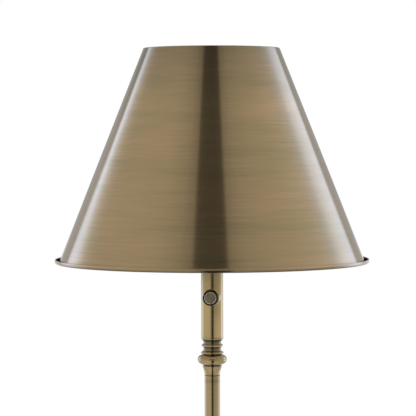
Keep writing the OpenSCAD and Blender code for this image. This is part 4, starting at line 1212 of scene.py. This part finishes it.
# %% Base cover
COVER_T = 1.2
EDGE_R = 8.0
EDGE_MID = 132.0
EDGE_Z = 9.5
EDGE_TOP = EDGE_Z + EDGE_R
STEP_R = 125.0
DOME_START_R = STEP_R - 0.9
COVER_DOME_Z = -574.96
COVER_DOME_R = 607.46
BEAD_Z = 30.83
BEAD_MID = 45.0
BEAD_OUT = 49.0
dome_start_z = COVER_DOME_Z + sqrt(COVER_DOME_R**2 - DOME_START_R**2)
start_turn = degrees(atan2(dome_start_z - COVER_DOME_Z, DOME_START_R))
end_turn = degrees(acos(BEAD_OUT / COVER_DOME_R))
bm = turned_mesh(
    (EDGE_MID, EDGE_Z - EDGE_R),
    [
        ("arc", EDGE_MID, EDGE_Z, 180),
        ("to", STEP_R, EDGE_TOP, 0.3),
        ("to", STEP_R, EDGE_TOP + 2, 0.6),
        ("to", DOME_START_R, dome_start_z, 0),
        ("arc", 0, COVER_DOME_Z, end_turn - start_turn),
        ("to", BEAD_OUT, BEAD_Z, 0),
        ("arc", BEAD_MID, BEAD_Z, 180),
        ("to", 41.03, 31.03, 0),
        ("arc", 42.0, SEAT, -86.5),
        ("to", ROD_HOLE, SEAT, 0),
        ("to", ROD_HOLE, SEAT - COVER_T, 0),
        ("to", 24.8, SEAT - COVER_T, 0),
        ("to", 39.0, 30.0, 3),
        ("to", EDGE_MID - 8, EDGE_TOP - COVER_T, 0),
        ("to", EDGE_MID, EDGE_TOP - COVER_T, 0),
        ("arc", EDGE_MID, EDGE_Z, -180),
    ],
    steps=256,
    grooves=[(STEP_R, EDGE_TOP, 1.4, 1), (49.3, 30.5, 1.2, 1), (40.8, 31.0, 1.2, 1)],
)
cover = finish_object("spun_base_cover", bm, [base_brass])
print("cover before the hole is cut:", len(cover.data.polygons), "faces")

# %% Hole for the lead
HOLE_R = 5.8
bm = bmesh.new()
bmesh.ops.create_cone(
    bm, cap_ends=True, segments=48, radius1=HOLE_R * MM, radius2=HOLE_R * MM, depth=30 * MM
)
bmesh.ops.rotate(bm, verts=bm.verts, cent=(0, 0, 0), matrix=Matrix.Rotation(pi / 2, 3, "X"))
bmesh.ops.translate(bm, verts=bm.verts, vec=Vector((0, 138, EDGE_Z)) * MM)
drill = finish_object("drill", bm, [])
cut = cover.modifiers.new("lead_hole", "BOOLEAN")
cut.object = drill
cut.solver = "EXACT"
drilled = cover.evaluated_get(bpy.context.evaluated_depsgraph_get())
drilled = bpy.data.meshes.new_from_object(drilled)
cover.modifiers.clear()
cover.data = drilled
cover.data.name = "spun_base_cover"
bpy.data.objects.remove(drill)
settle(cover, "column", "base_cover")

# %% Base collar
s = SEAT
COLLAR_TOP = s + 41
COLLAR_STEP = 14.4
trumpet_foot = TUBE_R + TRUMPET_R - TRUMPET_R * cos(radians(TRUMPET_TURN))
bm = turned_mesh(
    (ROD_HOLE, s),
    [
        ("to", 19.5, s, 0),
        ("arc", 19.5, s + 2.5, 180),
        ("to", 14.7, s + 5.0, 0),
        ("arc", 14.7, s + 8.3, -90),
        ("to", 11.4, s + 11.6, 0.8),
        ("to", COLLAR_STEP, s + 12.9, 0.5),
        ("to", COLLAR_STEP, s + 15.0, 0.2),
        ("to", BALL_AT, s + 15.0, 0),
        ("arc", BALL_AT, s + 20.8, 180),
        ("to", COLLAR_STEP, s + 26.6, 0.15),
        ("to", COLLAR_STEP, s + 28.4, 0.25),
        ("to", 12.0, s + 28.4, 0),
        ("to", 12.0, s + 28.8, 0),
        ("to", trumpet_foot, s + 28.8, 0),
        ("arc", TUBE_R + TRUMPET_R, COLLAR_TOP, -TRUMPET_TURN),
        ("to", ROD_HOLE, COLLAR_TOP, 0),
    ],
    grooves=[
        (14.7, s + 5.0, 1.0, 1), (13.6, s + 15.0, 1.1, 1), (12.0, s + 28.6, 1.3, 1),
        (TUBE_R, COLLAR_TOP, 0.6, 1),
    ],
)
settle(finish_object("turned_base_collar", bm, [pole_brass]), "column", "base_collar")

# %% Cord bushing
BUSH_IN = 128.0
BUSH_STEP = 133.0
BUSH_OUT = 141.4
BUSH_HOLE = 3.5
bm = turned_mesh(
    (BUSH_HOLE, BUSH_IN),
    [
        ("to", 5.7, BUSH_IN, 0.2),
        ("to", 5.7, BUSH_STEP, 0),
        ("to", 7.7, BUSH_STEP, 0),
        ("to", 7.7, BUSH_OUT, 0.9),
        ("to", BUSH_HOLE, BUSH_OUT, 0.7),
    ],
    steps=48,
)
bmesh.ops.rotate(bm, verts=bm.verts, cent=(0, 0, 0), matrix=Matrix.Rotation(-pi / 2, 3, "X"))
bmesh.ops.translate(bm, verts=bm.verts, vec=(0, 0, EDGE_Z * MM))
settle(finish_object("lead_bushing", bm, [black_moulding]), "column", "cord_bushing")

# %% Felt
# Pressed wool felt: dull dark green, cloudy, with a short nap that catches light at the edge.
felt = mottled_finish(
    "green_wool_felt", "#1C3326", "#2C4A38", size=12.0, detail=6.0,
    look={"Roughness": 0.95, "Sheen Weight": 0.3, "Sheen Roughness": 0.5}, bump=0.4, depth=0.4,
)
FELT_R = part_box("felt_pad")[1][0] / MM
bm = turned_mesh(
    (0, 0),
    [("to", FELT_R, 0, 0.4), ("to", FELT_R, high("felt_pad"), 0.4), ("to", 0, high("felt_pad"), 0)],
    close=False,
)
settle(finish_object("felt_disc", bm, [felt]), "column", "felt_pad")

# %% [markdown]
# ## Pieces that keep their CAD mesh
# The rods, nuts, socket insides, dimmer box and weight are hidden or plain, and their solids already
# have the right form. They only need a finish: zinc-plated steel, moulded phenolic, paper, plastic
# sheathing and rough iron. Each is a short recipe: two tones, a speck size in millimetres, roughness,
# metal or not, and how strong the relief of the specks is.

# %% Plain finishes
RECIPES = {
    # Bright zinc plating: bluish grey with a faint cloudiness.
    "zinc_plated_steel": ("#A9ADB2", "#C3C6C9", 3.0, 0.36, 1.0, 0.05),
    # Moulded phenolic: brown-black with the mottling of its wood filler.
    "brown_moulded_phenolic": ("#1D1511", "#33251C", 1.5, 0.45, 0.0, 0.15),
    # Fish paper: tan card with flecks of fibre.
    "tan_fish_paper": ("#A58F69", "#BFA983", 0.8, 0.85, 0.0, 0.3),
    # PVC sheath: soft brown with a low gloss.
    "brown_pvc_sheath": ("#3A2A1C", "#46331F", 2.0, 0.5, 0.0, 0.08),
    # Sand-cast iron: dark, dull and grainy.
    "sand_cast_iron": ("#29292B", "#3B3A3A", 1.2, 0.82, 0.2, 0.6),
}
plain = {}
for name, (dark, light, speck, rough, metallic, relief) in RECIPES.items():
    look = {"Roughness": rough, "Metallic": metallic}
    plain[name] = mottled_finish(
        name, dark, light, size=speck, detail=4.0, look=look, bump=relief, depth=0.3
    )

# %% Give every remaining solid its finish
FINISH_OF_SLOT = {
    "aged_brass": pole_brass, "brushed_shade": shade_brass, "dull_brass": dull_brass,
    "bright_brass": bright_brass, "zinc_steel": plain["zinc_plated_steel"], "opal_glass": opal,
    "bulb_alloy": bulb_alloy, "black_plastic": black_moulding,
    "dark_phenolic": plain["brown_moulded_phenolic"], "paper_liner": plain["tan_fish_paper"],
    "lead_sheath": plain["brown_pvc_sheath"], "iron_casting": plain["sand_cast_iron"], "green_felt": felt,
}
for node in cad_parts.values():
    for holder in node.material_slots:
        slot_name = holder.material.name.split(".")[0]
        holder.material = FINISH_OF_SLOT[slot_name]
print("finished", len(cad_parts), "solids")
